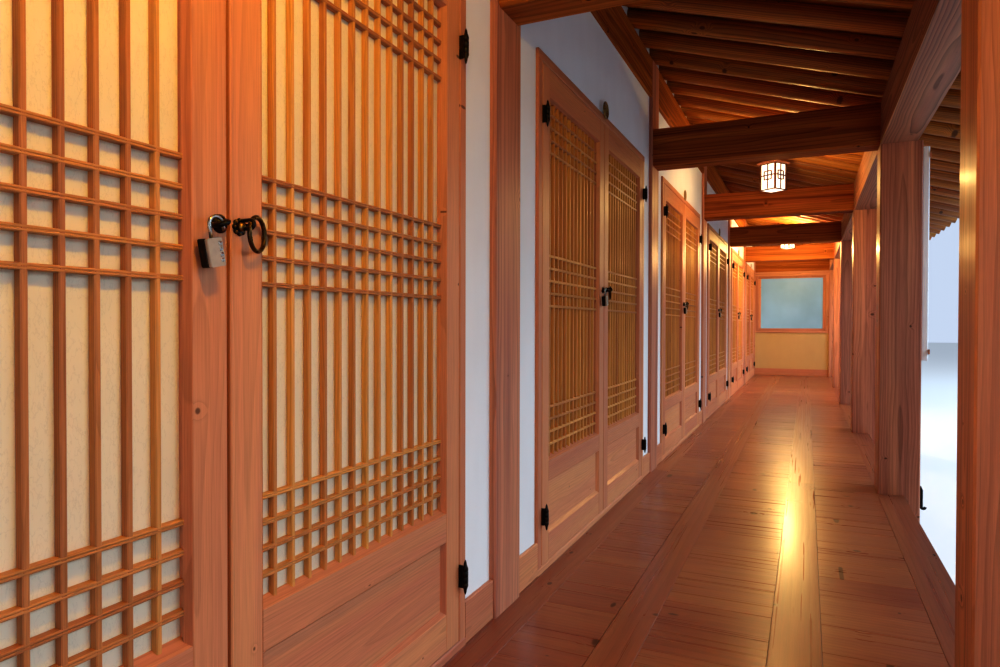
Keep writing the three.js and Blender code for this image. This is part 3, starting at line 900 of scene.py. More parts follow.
def door_hook(shape, x):
    """A thick iron hook on the outer face of a post, near the floor."""
    face, level, reach, bend = POST_OUTER - 0.001, FLOOR - 0.02, 0.018, 0.010
    half, tall, thick = 0.024, 0.08, 0.005
    shape.bar((x - half, face - thick, level - tall), (x + half, face, level + tall), "z", "iron", 0.002)
    side_view = [(0.0, 0.055), (0.012, 0.058), (reach, 0.04), (reach, -0.045)]
    for a in arc(math.pi, 6):
        side_view.append((reach + bend * (1 - math.cos(a)), -0.055 - bend * math.sin(a)))
    shape.rod([(x, face - out, level + up) for out, up in side_view], 0.0085, 10, "iron")


def wall_infill(shape):
    """Plaster over the wall-top beam, between the rafters."""
    y0, y1 = WALL_FACE + 0.03, WALL_FACE + 0.055
    outline = [(y0, WALL_TOP), (y1, WALL_TOP)]
    outline += [(y, lower_under(y) + RAFTER_DEPTH * 1.06) for y in (y1, y0)]
    shape.prism(outline, LINES[0], LINES[-1], axes("x"), "plaster")


def door_frame(shape, centre):
    """A round-nosed sill, a head and jambs with their stops, hinge plates and the boards beside them."""
    face, clear, sill = FRAME_FACE, DOORWAY_HALF - JAMB, FLOOR + SILL
    top = FLOOR + DOORWAY_TOP
    head = top - HEAD
    stop_face, stop, sunk, nose = face + LEAF_THICK + 0.006, 0.012, 0.002, 0.008
    left, right, wood_name = centre - DOORWAY_HALF, centre + DOORWAY_HALF, "door wood"
    outline = [(face, FLOOR)]
    for a in arc(math.pi / 2, 6):
        outline.append((face + nose * (1 - math.cos(a)), sill - nose * (1 - math.sin(a))))
    outline += [(WALL_INNER, sill), (WALL_INNER, FLOOR)]
    shape.prism(outline, -DOORWAY_HALF, DOORWAY_HALF, axes("x", (centre, 0, 0)), wood_name)
    shape.bar((left, face, head), (right, WALL_INNER, top), "x", wood_name)
    stops = [
        ((-clear, stop_face, head - stop), (clear, WALL_INNER, head + sunk), "x"),
        ((-clear, stop_face, sill - sunk), (clear, WALL_INNER, sill + stop), "x"),
    ]
    for side, outer in ((-1, left), (1, right)):
        shape.bar((centre + side * clear, face, sill), (outer, WALL_INNER, head), "z", wood_name)
        edge = (side * (clear - stop), stop_face, sill)
        stops.append((edge, (side * (clear + 0.001), WALL_INNER, head), "z"))
        ends = [centre + side * (DOORWAY_HALF + 0.0005), centre + side * (BAY / 2 - POST / 2)]
        shape.bar((ends[0], face, FLOOR), (ends[1], PLASTER_FACE, FLOOR + BASEBOARD), "x", wood_name)
        for level in HINGE_LEVELS:
            a = (centre + side * (clear - 0.0022), face - PLATE_PROUD, level - HINGE_PLATE_HALF)
            b = (centre + side * (clear + 0.0008), face + 0.03, level + HINGE_PLATE_HALF)
            shape.bar(a, b, "z", "iron", 0.0004)
    for a, b, along in stops:
        shape.bar((centre + a[0], *a[1:]), (centre + b[0], *b[1:]), along, wood_name, 0.0015)


def moulding(shape, x0, x1, z0, z1, face, size, depth, finish_name):
    """A bevel round an opening. It slopes from the face into the opening."""
    sketch = [(face + 0.001, 0.0), (face + depth, size), (face + depth, 0.0)]
    sides = [
        ("x", x0, x1, z0, 1),
        ("x", x0, x1, z1, -1),
        ("z", z0, z1, x0, 1),
        ("z", z0, z1, x1, -1),
    ]
    for along, start, end, edge, into in sides:
        if along == "x":
            outline = [(y, edge + into * t) for y, t in sketch]
        else:
            outline = [(edge + into * t, y) for y, t in sketch]
        shape.prism(outline, start, end, axes(along), finish_name)


def lattice(shape, x0, x1, face, seed):
    """Upright bars the full height, crossed by bars in three groups."""
    sizes = bpy.context.scene.hanok_sizes
    half, deep, pitch = sizes.bar_width / 2, sizes.bar_depth, sizes.bar_pitch
    columns, name, pith, tenon, edge = sizes.upright_bars, "lattice wood", (0.01, 0.04), 0.004, 0.0016
    front = face + BAR_RECESS
    first = (x0 + x1) / 2 - pitch * (columns - 1) / 2
    upright = Shape(seed)
    corner = (first - half, front, LATTICE[0] - tenon)
    upright.bar(corner, (first + half, front + deep, LATTICE[1] + tenon), "z", name, 0.0018, pith)
    in_a_row(shape, upright, (pitch, 0, 0), columns, name, seed)
    proud = front - 0.0005
    bead = [(-half, edge), (-half + edge, 0), (-edge, 0), (0, 0.0014), (edge, 0), (half - edge, 0)]
    bead += [(half, edge), (half, deep), (-half, deep)]
    for number, (level, count) in enumerate(LATTICE_GROUPS):
        crossing = Shape(seed + 10 + number)
        outline = [(proud + d, level + t) for t, d in bead]
        crossing.prism(outline, x0 - tenon, x1 + tenon, axes("x"), name, pith=pith)
        in_a_row(shape, crossing, (0, 0, pitch), count, name, seed + 20 + number)


def hinge(shape, x, y, level, side):
    """A spindle with pointed ends, and its plate let into the edge of the leaf."""
    half, full = 0.052, HINGE_RADIUS
    profile = [(-half, 0.0006), (-half + 0.006, 0.0034), (-half + 0.016, 0.0052), (-half + 0.026, full)]
    profile += [(-0.0186, full), (-0.0178, full - 0.0022), (-0.0166, full)]
    profile += [(-0.001, full), (0.0, full - 0.0016)]
    profile += [(-along, radius) for along, radius in reversed(profile)]
    shape.lathe(profile, 16, axes("z", (x, y, level)), "iron")
    corner = (x + side * 0.0004, y, level - HINGE_PLATE_HALF)
    shape.bar(corner, (x + side * 0.0026, y + 0.05, level + HINGE_PLATE_HALF), "z", "iron", 0.0004)


def staple(shape, at, spread, reach, wire, lean=90.0):
    """A wire loop that stands out of the door at a point. Its legs are spread along a leaning line."""
    along = Vector((math.cos(math.radians(lean)), 0, math.sin(math.radians(lean)))) * spread
    out = Vector((0, -1, 0))
    path = [at + along]
    for a in arc(math.pi, 8):
        path.append(at + along * math.cos(a) + out * (reach - spread + spread * math.sin(a)))
    path.append(at - along)
    shape.rod(path, wire, 8, "iron")


def ring_handle(shape, edge, face, level):
    """A flower rosette beside the meeting edge, and the iron ring that hangs in its eye."""
    x, petals, size, stud_circle = edge + 0.0185, 8, 0.0165, 0.0125
    sections = []
    for height, reach in ((0.0, 1.0), (0.002, 1.0), (0.0045, 0.82)):
        outline = []
        for a in circle(petals * 4):
            radius = size * reach * (0.84 + 0.16 * abs(math.cos(petals * a / 2)))
            outline.append((height, *polar(radius, a)))
        sections.append(outline)
    outwards = axes("y", (x, face, level)) @ HALF_TURN
    shape.loft(sections, outwards, "iron")
    knob = [(0.004, 0.0085), (0.009, 0.008), (0.012, 0.0055), (0.0135, 0.002), (0.0138, 0.0)]
    shape.lathe(knob, 14, outwards, "bronze")
    for a in circle(petals):
        spot = Matrix.Translation((0, *polar(stud_circle, a)))
        shape.lathe([(0.003, 0.0028), (0.0052, 0.0022), (0.0062, 0.0)], 6, outwards @ spot, "bronze")
    staple(shape, Vector((x + 0.002, face, level + 0.004)), 0.0075, 0.034, 0.0036)
    pin = [(x + 0.004, face - 0.006, level + 0.002), (x + 0.020, face - 0.012, level + 0.003)]
    shape.rod(pin, 0.0048, 8, "iron")
    centre, radius, swing = Vector((edge + 0.0445, face - 0.018, level - 0.011)), 0.031, math.radians(20)
    across = Vector((math.cos(swing), math.sin(swing), 0))
    ring = []
    for a in circle(32):
        ring.append(centre + across * radius * math.cos(a) + Vector((0, 0, radius * math.sin(a))))
    shape.rod(ring, 0.0043, 10, "dark bronze", True)


def padlock(shape, edge, face, level):
    """A thick staple near the meeting edge, and a small open lock with plain dials hanging in it."""
    tilt, bow = math.radians(12), 0.015
    right = Vector((math.cos(tilt), 0, math.sin(tilt)))
    up = Vector((-math.sin(tilt), 0, math.cos(tilt)))
    crown = Vector((edge - 0.045, face - 0.022, level - 0.007))
    hold = Vector((edge - 0.0304, face, level - 0.0016))
    staple(shape, hold, 0.0085, 0.031, 0.0048, 25)
    boss = [(-0.0008, 0.0165), (0.0025, 0.0165), (0.005, 0.012), (0.010, 0.010), (0.012, 0.0)]
    shape.lathe(boss, 18, axes("y", (edge - 0.018, face, level)) @ HALF_TURN, "iron")
    shackle = [crown - right * bow - up * 0.026]
    for a in reversed(arc(math.pi, 8)):
        shackle.append(crown + right * bow * math.cos(a) + up * bow * math.sin(a))
    shackle.append(crown + right * bow - up * 0.010)
    shape.rod(shackle, 0.0032, 10, "steel")
    wide, tall, deep, shell, bevel = 0.033, 0.048, 0.024, 0.007, 0.002
    top = crown - right * (bow + 0.004) - up * 0.0205
    place = placed(top, right, Vector((0, 1, 0)), up) @ axes("z", (0, 0, -tall))
    halves = [(shell, -deep / 2 + shell / 2, "dull steel"), (deep - shell, shell / 2, "iron")]
    for thick, centre, name in halves:
        outline = [(x, y + centre) for x, y in chamfered(wide, thick, 0.0015)]
        sections = []
        for along, inset in ((0, bevel), (bevel, 0), (tall - bevel, 0), (tall, bevel)):
            squeeze = 1 - 2 * inset / wide
            sections.append([(along, x * squeeze, y) for x, y in outline])
        shape.loft(sections, place, name)
    dial = [(-0.0035, 0.0050), (-0.003, 0.0056), (0.003, 0.0056), (0.0035, 0.0050)]
    for i in range(1, 5):
        spot = Matrix.Translation((tall - 0.0095 * i, wide / 2 - 0.0065, -deep / 2 + 0.004))
        shape.lathe(dial, 12, place @ spot @ axes("y"), "steel", smooth=False)


def leaf(number, side_name):
    """A framed leaf with a panel below and lattice above, its paper, hinges, and ring or lock."""
    node = f"door_{number}_{side_name}"
    side = 1 if side_name == "left" else -1
    lowest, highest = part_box(node)
    outer, meeting = (lowest.x, highest.x) if side > 0 else (highest.x, lowest.x)
    near = meeting - side * LEAF_WIDTH
    bottom, top = lowest.z, highest.z
    face, back = FRAME_FACE, FRAME_FACE + LEAF_THICK
    tongue, panel_thick, paper_thick = 0.005, 0.012, 0.0015
    seed = number * 20 + (side > 0)
    shape = Shape(seed)

    def at(u):
        return near + side * u

    inner = sorted((at(STILE), at(LEAF_WIDTH - STILE)))
    let_in = inner[0] - tongue, inner[1] + tongue
    for a, b in ((0, STILE), (LEAF_WIDTH - STILE, LEAF_WIDTH)):
        shape.bar((at(a), face, bottom), (at(b), back, top), "z", "door wood", 0.0025)
    for a, b in ((bottom, BOTTOM_RAIL), (PANEL_TOP, LATTICE[0]), (LATTICE[1], top)):
        shape.bar((inner[0], face + 0.0004, a), (inner[1], back, b), "x", "door wood", 0.0012)
    corner = (let_in[0], face + PANEL_RECESS, BOTTOM_RAIL - tongue)
    opposite = (let_in[1], face + PANEL_RECESS + panel_thick, PANEL_TOP + tongue)
    shape.bar(corner, opposite, "x", "door wood", 0.001, (0.06, 0.1))
    moulding(shape, *inner, BOTTOM_RAIL, PANEL_TOP, face, 0.011, PANEL_RECESS + 0.001, "door wood")
    moulding(shape, *inner, *LATTICE, face, 0.005, BAR_RECESS + 0.002, "door wood")
    ledge = [(face + d, LATTICE[0] + t) for d, t in ((0.001, -0.001), (0.030, 0.012), (0.030, -0.001))]
    shape.prism(ledge, *inner, axes("x"), "door wood")
    lattice(shape, *inner, face, seed * 100)
    sheet = face + BAR_RECESS + bpy.context.scene.hanok_sizes.bar_depth
    corner = (let_in[0], sheet, LATTICE[0] - tongue)
    opposite = (let_in[1], sheet + paper_thick, LATTICE[1] + tongue)
    shape.bar(corner, opposite, "z", "door paper", 0.0004)
    axis = outer + side * HINGE_RADIUS
    for level in HINGE_LEVELS:
        hinge(shape, axis, face - HINGE_PROUD, level, side)
    if side > 0:
        padlock(shape, at(LEAF_WIDTH), face, HANDLE_LEVEL)
    else:
        ring_handle(shape, at(LEAF_WIDTH), face, HANDLE_LEVEL)
    assembled(shape, node + "_leaf", [node], f"leaf_{number}_{side_name}")


RAILS = [(-2.604, -2.468), (-2.141, -1.994), (-1.648, -1.521), (-1.271, -1.1655)]


def floor_board(shape, x0, x1, y0, y1, along):
    most_drop, gap = 0.0006, 0.0006
    top = FLOOR - shape.random.uniform(0, most_drop)
    corner = (x0 + gap, y0 + gap, FLOOR - FLOOR_BOARD)
    shape.bar(corner, (x1 - gap, y1 - gap, top), along, "floor wood", 0.0009, (0.05, 0.16))


def veranda_floor(shape):
    """Long rails with short boards let in between them, and a wide board at every post line."""
    half, wide_half, uneven = POST / 2, 0.1, 0.16
    ends = [LINES[0] - half, LINES[-1] + half]
    for a, b in BAY_SPANS:
        floor_board(shape, a + half, b - half, *RAILS[0], "x")
    for rail in RAILS[1:]:
        for a, b in spans([ends[0], *LINES[2:-1:2], ends[1]]):
            floor_board(shape, a, b, *rail, "x")
    for a, b in BAY_SPANS:
        floor_board(shape, a + half, b - half, RAILS[-1][1], PLASTER_FACE, "x")
    count = bpy.context.scene.hanok_sizes.boards_per_bay
    for (_, y0), (y1, _) in spans(RAILS):
        for x in LINES:
            floor_board(shape, max(x - wide_half, ends[0]), min(x + wide_half, ends[1]), y0, y1, "y")
        for a, b in BAY_SPANS:
            start, stop = a + wide_half, b - wide_half
            places = [start]
            for i in range(1, count):
                share = (i + shape.random.uniform(-uneven, uneven)) / count
                places.append(start + (stop - start) * share)
            for c, d in spans(places + [stop]):
                floor_board(shape, c, d, y0, y1, "y")
    under = FLOOR - FLOOR_BOARD
    bottom = low("veranda_floor").z
    edge, edge_beam, cross_half, batten = RAILS[0][0], 0.1, 0.06, 0.05
    for a, b in BAY_SPANS:
        corner = (a + half, edge + 0.002, bottom)
        shape.bar(corner, (b - half, edge + edge_beam, under), "x", "timber", 0.004)
    for x in LINES:
        corner = (x - cross_half, POST_INNER, bottom)
        shape.bar(corner, (x + cross_half, WALL_FACE, under), "y", "timber", 0.004)
    for y0, y1 in RAILS[1:]:
        corner = (ends[0], y0 + 0.02, under - batten)
        shape.bar(corner, (ends[1], y1 - 0.02, under), "x", "timber", 0.003)


def hollow_top(drop):
    """The roof's hollow curve, lowered by drop: its two ends and the point that bends it."""
    eave, bend, crest, thick = EAVE_Y + EAVE_INSET, -1.25, -0.15, 0.165
    foot = [(y, lower_top(y) + thick - drop) for y in (eave, bend)]
    return [*foot, (crest, RIDGE_Z - SEAT - drop)]


def on_curve(points, t):
    a, b, c = points
    return tuple((1 - t) ** 2 * p + 2 * t * (1 - t) * q + t * t * r for p, q, r in zip(a, b, c))


TILE_LENGTH = 0.30
CHANNEL_SAG = 0.042
UP_THE_ROOF = placed((0, 0, 0), (0, 1, 0), (-1, 0, 0), (0, 0, 1))


def over_tile(half_count):
    """Places from -1 to 1 over the width of a tile."""
    return [i / half_count - 1 for i in range(2 * half_count + 1)]


def channel_tile(shape):
    """A broad tile, hollow upwards. Its lower end lies on the tiles below."""
    half, taper, thick, base, rise = 0.14, 0.04, 0.016, 0.004, 0.040
    sections = []
    for along, lift in ((0.0, rise), (TILE_LENGTH, 0.0)):
        wide = half * (1 - taper * along / TILE_LENGTH)
        lower = [(along, u * wide, base + lift + CHANNEL_SAG * u * u) for u in over_tile(2)]
        upper = [(x, y, z + thick) for x, y, z in reversed(lower)]
        sections.append(upper + lower)
    shape.loft(sections, UP_THE_ROOF, "roof tile")


def cover_tile(shape):
    """A half-round tile over the joint of two channels."""
    radius, thick, base, rise = 0.075, 0.014, 0.030, 0.014
    sections = []
    for along, lift in ((0.0, rise), (TILE_LENGTH, 0.0)):
        outer, inner = ([polar(r, a) for a in arc(math.pi, 6)] for r in (radius, radius - thick))
        sections.append([(along, y, base + lift + z) for y, z in outer + inner[::-1]])
    shape.loft(sections, UP_THE_ROOF, "roof tile")


def tiled_slope(shape, maker, drop, row_step, columns, pitch, seed):
    """Covers the slope with one kind of tile."""
    prototype = Shape(seed)
    maker(prototype)
    values = {name: (0.0, y, z) for name, (y, z) in zip(("Eave", "Middle", "Crest"), hollow_top(drop))}
    values.update({"Row step": row_step, "Columns": columns, "Pitch": pitch})
    values.update({"Looseness": 0.012, "Seed": seed, "Finish": finish("roof tile")})
    shape.absorb(recipe(slope_recipe).run(prototype.mesh("tile"), values), "roof tile")


def eave_ends(shape, drop, columns, pitch):
    """A round face on every cover tile and a hanging lip on every channel, along the eave."""
    (y, z), (bend_y, bend_z), _ = hollow_top(drop)
    start = -(columns - 1) / 2 * pitch
    slope = (bend_z - z) / (bend_y - y)
    disc = Shape(5)
    rim = [(0.0, 0.070), (0.004, 0.074), (0.010, 0.074), (0.014, 0.066), (0.012, 0.060), (0.010, 0.040)]
    rim += [(0.013, 0.030), (0.013, 0.0)]
    middle = Matrix.Translation((0.008, 0, 0.046))
    disc.lathe(rim, 14, up_slope((start, y, z), slope) @ middle @ HALF_TURN, "roof tile")
    in_a_row(shape, disc, (pitch, 0, 0), columns, "roof tile", 71)
    lip = Shape(6)
    half, top, bottom, drip = 0.13, 0.062, 0.020, 0.030
    outline = [(u * half, CHANNEL_SAG * u * u + top) for u in over_tile(3)]
    for u in reversed(over_tile(3)):
        outline.append((u * half, CHANNEL_SAG * u * u - drip * (1 - u * u) + bottom))
    lip.prism(outline, -0.010, 0.008, up_slope((start + pitch / 2, y, z), slope), "roof tile")
    in_a_row(shape, lip, (pitch, 0, 0), columns - 1, "roof tile", 72)


def roof_slope(shape):
    """The bed of earth, both kinds of tile, the eave's ends and the board under them."""
    sizes = bpy.context.scene.hanok_sizes
    drop, over_deck, beside_ridge, inset = 0.125, 0.001, -0.0005, 0.012
    width = 2 * (ROOF_END - TILE_INSET)
    columns = round(width / sizes.tile_pitch) + 1
    pitch = width / (columns - 1)
    bed = hollow_top(drop)
    eave = RAFTER_END + 0.03
    outline = [(y, lower_top(y) + over_deck) for y in (eave, TOP_BREAK)]
    outline += [(beside_ridge, upper_top(0) + over_deck), (beside_ridge, on_curve(bed, 1)[1])]
    curve = [on_curve(bed, 1 - i / 14) for i in range(15)]
    outline += [point for point in curve if point[0] > eave]
    outline.append((eave, on_curve(bed, 0.02)[1]))
    shape.prism(outline, inset - ROOF_END, ROOF_END - inset, axes("x"), "earth")
    tiled_slope(shape, channel_tile, drop, sizes.channel_step, columns - 1, pitch, 31)
    tiled_slope(shape, cover_tile, drop, sizes.cover_step, columns, pitch, 32)
    eave_ends(shape, drop, columns, pitch)
    corner = (-BEAM_END, RAFTER_END - 0.02, lower_top(RAFTER_END) - 0.01)
    opposite = (BEAM_END, RAFTER_END + 0.035, lower_top(RAFTER_END) + 0.045)
    shape.bar(corner, opposite, "x", "timber", 0.004)


def ridge_courses(shape):
    """Flat tile courses under a line of half-round tiles. Both ends sweep up."""
    lowest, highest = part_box("ridge")
    end, half, lift, count = highest.x, highest.y, 0.09, 54
    height = highest.z - lowest.z - lift
    levels = [0.03 + 0.031 * i for i in range(7)]
    course, joint, set_back, roll, top = 0.024, 0.001, 0.012, 0.084, height - 0.088

    def crest(x):
        return lift * (x / end) ** 4

    for i, (x0, x1) in enumerate(spans([2 * end * k / count - end for k in range(count + 1)])):
        steep = math.atan((crest(x1) - crest(x0)) / (x1 - x0))
        middle = (x0 + x1) / 2
        reach = (x1 - x0) / math.cos(steep) / 2
        place = Matrix.Translation((middle, 0, lowest.z + crest(middle)))
        place = place @ Matrix.Rotation(-steep, 4, "Y")
        for number, level in enumerate(levels):
            width = half - number % 2 * set_back - shape.random.uniform(0, 0.004)
            outline = [(y, z + level) for y, z in chamfered(2 * width, course, 0.004)]
            shape.prism(outline, joint - reach, reach - joint, place, "roof tile")
        outline = [(y, top + z) for y, z in (polar(roll, a) for a in arc(math.pi, 8))]
        lap = 0.012 if i else 0.0
        shape.prism(outline, -reach - lap, reach, place, "roof tile")
        core_top = lowest.z + height - 0.07 + crest(x0)
        shape.bar((x0, 0.03 - half, lowest.z - 0.125), (x1, half - 0.03, core_top), "x", "earth")
    for side in (-1, 1):
        middle = lowest.z + height * 0.55 + lift
        plate = [(y * 0.93, middle + z * 0.95) for y, z in round_outline(half, 20)]
        ends = sorted((side * (end - 0.03), side * (end - 0.002)))
        shape.prism(plate, *ends, axes("x"), "roof tile")


def rafter_log(shape, place, length):
    """A peeled log, a little uneven along its length."""
    radius, count, sides = 0.0525, 9, 14
    sections = []
    for k in range(count):
        girth = radius * shape.random.uniform(0.955, 1.0)
        lean = shape.random.uniform(-0.002, 0.002)
        outline = round_outline(girth, sides)
        x = length * k / (count - 1)
        sections.append([(x, y + lean, z + radius + (radius - girth) * 0.2) for y, z in outline])
    shape.loft(sections, place, "ceiling wood", True, pith=(0.0, 0.012))


def deck_board(shape, place, width, length):
    """A board over the rafters."""
    outline = [(y, z + RAFTER_DEPTH + DECK / 2) for y, z in chamfered(width, DECK - 0.001, 0.0015)]
    shape.prism(outline, 0, length, place, "ceiling wood")


def rafters(shape):
    """Logs a foot apart on both slopes, with a board over each gap."""
    name, overlap = "ceiling wood", 0.02
    count = math.floor((BEAM_END - 0.06) / FOOT)
    slopes = [
        (RAFTER_END, BREAK_Y, LOWER_SLOPE, lower_under(RAFTER_END)),
        (BREAK_Y - overlap, -0.002, UPPER_SLOPE, upper_under(BREAK_Y - overlap)),
    ]
    for number, (y0, y1, slope, z0) in enumerate(slopes):
        length = (y1 - y0) * math.hypot(1, slope)
        log = Shape(41 + number)
        rafter_log(log, up_slope((-count * FOOT, y0, z0), slope), length)
        in_a_row(shape, log, (FOOT, 0, 0), 2 * count + 1, name, 51 + number)
        board = Shape(43 + number)
        deck_board(board, up_slope(((0.5 - count) * FOOT, y0, z0), slope), FOOT - 0.0016, length)
        in_a_row(shape, board, (FOOT, 0, 0), 2 * count, name, 53 + number)
        for side in (-1, 1):
            ends = sorted((side * (count * FOOT + 0.001), side * BEAM_END))
            deck_board(shape, up_slope((sum(ends) / 2, y0, z0), slope), ends[1] - ends[0], length)


def roof_timbers(shape):
    """Crossbeams, short posts, purlins, the end frames and the gable boards."""
    ridge_half, post_half, board_deep = 0.09, 0.08, 0.27
    near, far = -WALL_FACE - WALL_BEAM_WIDE, -WALL_FACE
    ridge_top = upper_under(-ridge_half) - SEAT
    ridge_low = ridge_top - 2 * ridge_half
    level, purlin_low = TIE[1], WALL_TOP - WALL_BEAM_DEEP
    end = high("roof_frame").x - GABLE_BOARD
    for x in LINES:
        if abs(x) < LINES[-1] - 0.1:
            middle, wide, slim, front = x, 0.09, 0.06, WALL_INNER
        else:
            middle, wide, slim = math.copysign(LINES[-1] + 0.055, x), 0.05, 0.05
            front = WALL_FACE + POST_IN_WALL
        left, right, corner = middle - slim, middle + slim, (middle - wide, front, TIE[0])
        shape.bar(corner, (middle + wide, BACK_INNER, level), "y", "timber", 0.008)
        shape.bar((left, -post_half, level), (right, post_half, ridge_low), "z", "timber", 0.006)
        shape.bar((left, near + 0.015, level), (right, far - 0.015, purlin_low), "z", "timber")
    shape.bar((-end, near, purlin_low), (end, far, WALL_TOP), "x", "timber", 0.008)
    shape.bar((-end, -ridge_half, ridge_low), (end, ridge_half, ridge_top), "x", "timber", 0.008)
    for side in (-1, 1):
        ends = sorted((side * end, side * (end + GABLE_BOARD)))
        for way in (-1, 1):
            for y0, y1, top in ((RAFTER_END, TOP_BREAK, lower_top), (TOP_BREAK, 0.0, upper_top)):
                levels = [(y0, 0.0), (y1, 0.0), (y1, board_deep), (y0, board_deep)]
                outline = [(way * y, top(y) - deep - SEAT) for y, deep in levels]
                slope_board(shape, outline, ends)


def slope_board(shape, outline, ends):
    """A board across the gable, its fibres along the slope."""
    (y0, z0), (y1, z1) = outline[0], outline[1]
    length = math.hypot(y1 - y0, z1 - z0)
    climb = Vector((0, (y1 - y0) / length, (z1 - z0) / length))
    width = Vector((1, 0, 0))
    place = placed((0, y0, z0), climb, width, climb.cross(width))
    back = place.inverted()
    near, far = ([back @ Vector((x, y, z)) for y, z in outline] for x in ends)
    sections = [[near[0], far[0], far[3], near[3]], [near[1], far[1], far[2], near[2]]]
    if not counter_clockwise([(p.y, p.z) for p in sections[0]]):
        sections = [section[::-1] for section in sections]
    shape.loft(sections, place, "timber")


def stone_courses(shape, start, length, count, faces, along):
    """Dressed stones along the foot of a wall. They reach across between two faces."""
    for ends in spans([start + length * i / count for i in range(count + 1)]):
        for bottom, top in STONE_COURSES:
            a, b = (ends[0] + 0.003, faces[0]), (ends[1] - 0.003, faces[1])
            if along == "y":
                a, b = a[::-1], b[::-1]
            shape.bar((*a, bottom + 0.002), (*b, top - 0.003), along, "granite", 0.006)


def back_frame(shape):
    """Posts, beam and rails of the back wall, and a low band of stone along it."""
    half = POST / 2
    beam_low, beam_high = low("outer_beam").z, high("outer_beam").z
    for x in LINES:
        corner = (x - half, BACK_FACE - POST_IN_WALL, 0.0)
        shape.bar(corner, (x + half, BACK_FACE, beam_low), "z", "timber", 0.006)
    opposite = (BEAM_END, BACK_INNER + BACK_BEAM_WIDE, beam_high)
    shape.bar((-BEAM_END, BACK_INNER, beam_low), opposite, "x", "timber", 0.008)
    faces = BACK_PLASTER - 0.01, BACK_PLASTER + STONE_PROUD
    rails = [(FLOOR, FLOOR + 0.11), (FLOOR + 0.98, FLOOR + 1.07)]
    for a, b in BAY_SPANS:
        for bottom, top in rails:
            shape.bar((a + half, faces[0], bottom), (b - half, faces[1], top), "x", "timber", 0.003)
        stone_courses(shape, a + half, BAY - POST, 5, faces, "x")


def gable_stones(shape):
    """The same low band of stone along both ends."""
    face = LINES[-1] + POST / 2 - 0.018
    front, back = WALL_FACE + POST_IN_WALL, BACK_FACE - POST_IN_WALL
    for side in (-1, 1):
        faces = side * (face - 0.01), side * (face + STONE_PROUD)
        stone_courses(shape, front, back - front, 8, faces, "y")


def lantern(shape, node):
    """A paper box in a slim frame, turned on its stem."""
    lowest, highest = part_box(node)
    x, y = (lowest.x + highest.x) / 2, (lowest.y + highest.y) / 2
    side, bottom, top = 0.08, lowest.z, lowest.z + 0.23
    slim, rail, thin, square = 0.015, 0.009, 0.0042, 0.036
    name = "lantern wood"

    def box(a, b, along, finish_name, chamfer):
        shape.bar((x + a[0], y + a[1], a[2]), (x + b[0], y + b[1], b[2]), along, finish_name, chamfer)

    def strip(turned, run, faces, levels, along, chamfer):
        """A strip in one side of the frame. A turned one lies in a side that faces along X."""
        a, b = zip(run, faces)
        if turned:
            a, b = a[::-1], b[::-1]
        box((*a, levels[0]), (*b, levels[1]), along, name, chamfer)

    inner = side - slim
    for sx in (-1, 1):
        for sy in (-1, 1):
            box((sx * side, sy * side, bottom), (sx * inner, sy * inner, top), "z", name, 0.0015)
    for level in (bottom, top - rail):
        for s in (-1, 1):
            faces = s * side, s * (side - rail)
            for turned in (False, True):
                strip(turned, (-inner, inner), faces, (level, level + rail), "xy"[turned], 0.001)
    inner = side - rail - 0.001
    box((-inner, -inner, bottom + 0.004), (inner, inner, top - 0.004), "z", "lantern paper", 0.0005)
    middle, face = (bottom + top) / 2 + 0.012, side - 0.001
    tall = (top - bottom) / 2
    for s in (-1, 1):
        faces = s * face, s * (face - 0.009)
        for level, reach in ((middle - square, square), (middle, inner), (middle + square, square)):
            for turned in (False, True):
                strip(turned, (-reach, reach), faces, (level - thin, level + thin), "xy"[turned], 0.0008)
        for place, reach in ((-square, square), (0.0, tall), (square, square)):
            levels = max(middle - reach, bottom + rail), min(middle + reach, top - rail)
            for turned in (False, True):
                strip(turned, (place - thin, place + thin), faces, levels, "z", 0.0008)
    lid, cap, eaves = 0.012, 0.02, side + 0.016
    box((-eaves, -eaves, top), (eaves, eaves, top + lid), "x", "timber", 0.003)
    box((-side, -side, top + lid), (side, side, top + cap), "x", "timber", 0.002)
    shape.spin((x, y, 0), math.radians(-34))
    stem = 0.018
    box((-stem, -stem, top + cap), (stem, stem, highest.z - 0.008), "z", name, 0.002)


def end_wall_trim(shape):
    """Boards round the window, a sill, a lintel and a baseboard on the veranda's end wall."""
    lowest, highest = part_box("end_window")
    face, y0, _ = low("veranda_end_wall")
    y1 = high("veranda_end_wall").y
    front, back, lap = face - 0.012, face + 0.03, 0.002
    shape.bar((front, y0, FLOOR), (face + 0.002, y1, FLOOR + BASEBOARD), "y", "door wood")
    for a, b in ((y0, lowest.y + lap), (highest.y - lap, y1)):
        shape.bar((front, a, lowest.z - 0.03), (back, b, highest.z + 0.07), "z", "timber")
    shape.bar((front - 0.008, y0, lowest.z - 0.035), (back, y1, lowest.z + 0.001), "y", "timber")
    shape.bar((front - 0.004, y0, highest.z - 0.001), (back, y1, TIE[0]), "y", "timber", 0.004)


def end_window(shape):
    """Four timbers round one fixed pane."""
    (x0, y0, z0), (x1, y1, z1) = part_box("end_window")
    border, pane_half = 0.05, 0.004
    for bottom, top in ((z0, z0 + border), (z1 - border, z1)):
        shape.bar((x0, y0, bottom), (x1, y1, top), "y", "timber")
    for a, b in ((y0, y0 + border), (y1 - border, y1)):
        shape.bar((x0, a, z0 + border), (x1, b, z1 - border), "z", "timber")
    middle, inset = (x0 + x1) / 2, border - 0.006
    corner = (middle - pane_half, y0 + inset, z0 + inset)
    shape.bar(corner, (middle + pane_half, y1 - inset, z1 - inset), "y", "window glass", 0.0004)


